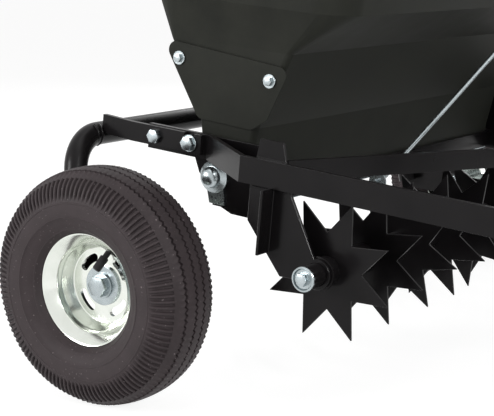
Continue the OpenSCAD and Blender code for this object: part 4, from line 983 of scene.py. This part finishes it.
class AERATOR_OT_stage(bpy.types.Operator):
    """Sets the pale floor, the soft light and the camera at the photograph's angle."""

    bl_idname = "aerator.stage"
    bl_label = "Stage"

    def execute(self, context):
        stage = settings()[3]
        scene = context.scene
        scene.view_settings.view_transform = "Standard"
        bm = bmesh.new()
        bmesh.ops.create_grid(bm, x_segments=2, y_segments=2, size=FLOOR_HALF)
        mesh = bpy.data.meshes.new("studio_floor")
        bm.to_mesh(mesh)
        bm.free()
        floor = bpy.data.objects.new("studio_floor", mesh)
        scene.collection.objects.link(floor)
        material, tree, coords = start_material("studio_floor_paint")
        grain = add_node(tree, "ShaderNodeTexNoise", {"Scale": per_metre(11), "Detail": 2.0},
                         {"Vector": coords})
        tone = add_node(tree, "ShaderNodeMix", {6: stage.floor, 7: linear(FLOOR_PALE)},
                        {0: grain.outputs["Fac"]}, data_type="RGBA")
        paint = add_node(tree, "ShaderNodeBsdfPrincipled", {"Roughness": 0.9},
                         {"Base Color": tone.outputs[2]})
        share = add_node(tree, "ShaderNodeMath", {1: stage.glow}, {0: white_rays(tree)}, operation="MULTIPLY")
        glow = add_node(tree, "ShaderNodeEmission", {"Color": (1, 1, 1, 1), "Strength": GLOW})
        mix = add_node(tree, "ShaderNodeMixShader", links={0: share.outputs[0], 1: paint.outputs["BSDF"],
                                                           2: glow.outputs["Emission"]})
        add_node(tree, "ShaderNodeOutputMaterial", links={"Surface": mix.outputs["Shader"]})
        mesh.materials.append(material)

        world = bpy.data.worlds.new("studio_sky")
        scene.world = world
        world.use_nodes = True
        sky = world.node_tree
        sky.nodes.clear()
        level = add_node(sky, "ShaderNodeMapRange", {"To Min": stage.fill, "To Max": 1.0},
                         {"Value": white_rays(sky)})
        even = add_node(sky, "ShaderNodeBackground", {"Color": (1, 1, 1, 1)},
                        {"Strength": level.outputs["Result"]})
        add_node(sky, "ShaderNodeOutputWorld", links={"Surface": even.outputs["Background"]})

        for name, (power, size, x, y, z) in LAMPS.items():
            light = bpy.data.lights.new(name, "AREA")
            light.energy, light.size = stage.key * power, size
            obj = bpy.data.objects.new(name, light)
            obj.location = (x, AXLE.y + y, z)
            obj.rotation_mode = "QUATERNION"
            obj.rotation_quaternion = (LAMP_AIM - obj.location).to_track_quat("-Z", "Y")
            scene.collection.objects.link(obj)

        data = bpy.data.cameras.new("photo_camera")
        data.sensor_width, data.lens = SENSOR_MM, stage.lens
        data.clip_start, data.clip_end = 0.05, 60
        camera = bpy.data.objects.new("photo_camera", data)
        rim = Vector((AXLE.x - RIM_HALF * MM, AXLE.y, AXLE.z))
        up = CAMERA_RIGHT.cross(CAMERA_AHEAD).normalized()
        turn = Matrix((CAMERA_RIGHT, up, -CAMERA_AHEAD)).transposed().to_4x4()
        camera.matrix_world = Matrix.Translation(rim + CAMERA_FROM_RIM) @ turn
        scene.collection.objects.link(camera)
        scene.camera = camera
        return {"FINISHED"}


class AERATOR_PT_panel(bpy.types.Panel):
    """Lists the build steps and their settings."""

    bl_idname = "AERATOR_PT_panel"
    bl_label = "Spike aerator"
    bl_space_type = "VIEW_3D"
    bl_region_type = "UI"
    bl_category = "Aerator"

    def draw(self, context):
        for group in settings():
            for key in group.__annotations__:
                self.layout.prop(group, key)
        for step in STEPS:
            self.layout.operator(step.bl_idname)


STEPS = (AERATOR_OT_finishes, AERATOR_OT_wheels, AERATOR_OT_drawbar, AERATOR_OT_sheets, AERATOR_OT_reel,
         AERATOR_OT_hopper, AERATOR_OT_fasteners, AERATOR_OT_welds, AERATOR_OT_drive, AERATOR_OT_stage)


def register():
    """Registers the settings, the steps and the panel."""
    for name, group in GROUPS.items():
        bpy.utils.register_class(group)
        setattr(bpy.types.Scene, name, bpy.props.PointerProperty(type=group))
    for step in STEPS + (AERATOR_PT_panel,):
        bpy.utils.register_class(step)


def unregister():
    """Removes what register added."""
    for step in (AERATOR_PT_panel,) + STEPS[::-1]:
        bpy.utils.unregister_class(step)
    for name, group in GROUPS.items():
        delattr(bpy.types.Scene, name)
        bpy.utils.unregister_class(group)


def main():
    """Builds everything."""
    register()
    for step in STEPS:
        group, name = step.bl_idname.split(".")
        getattr(getattr(bpy.ops, group), name)()


if __name__ == "__main__":
    main()
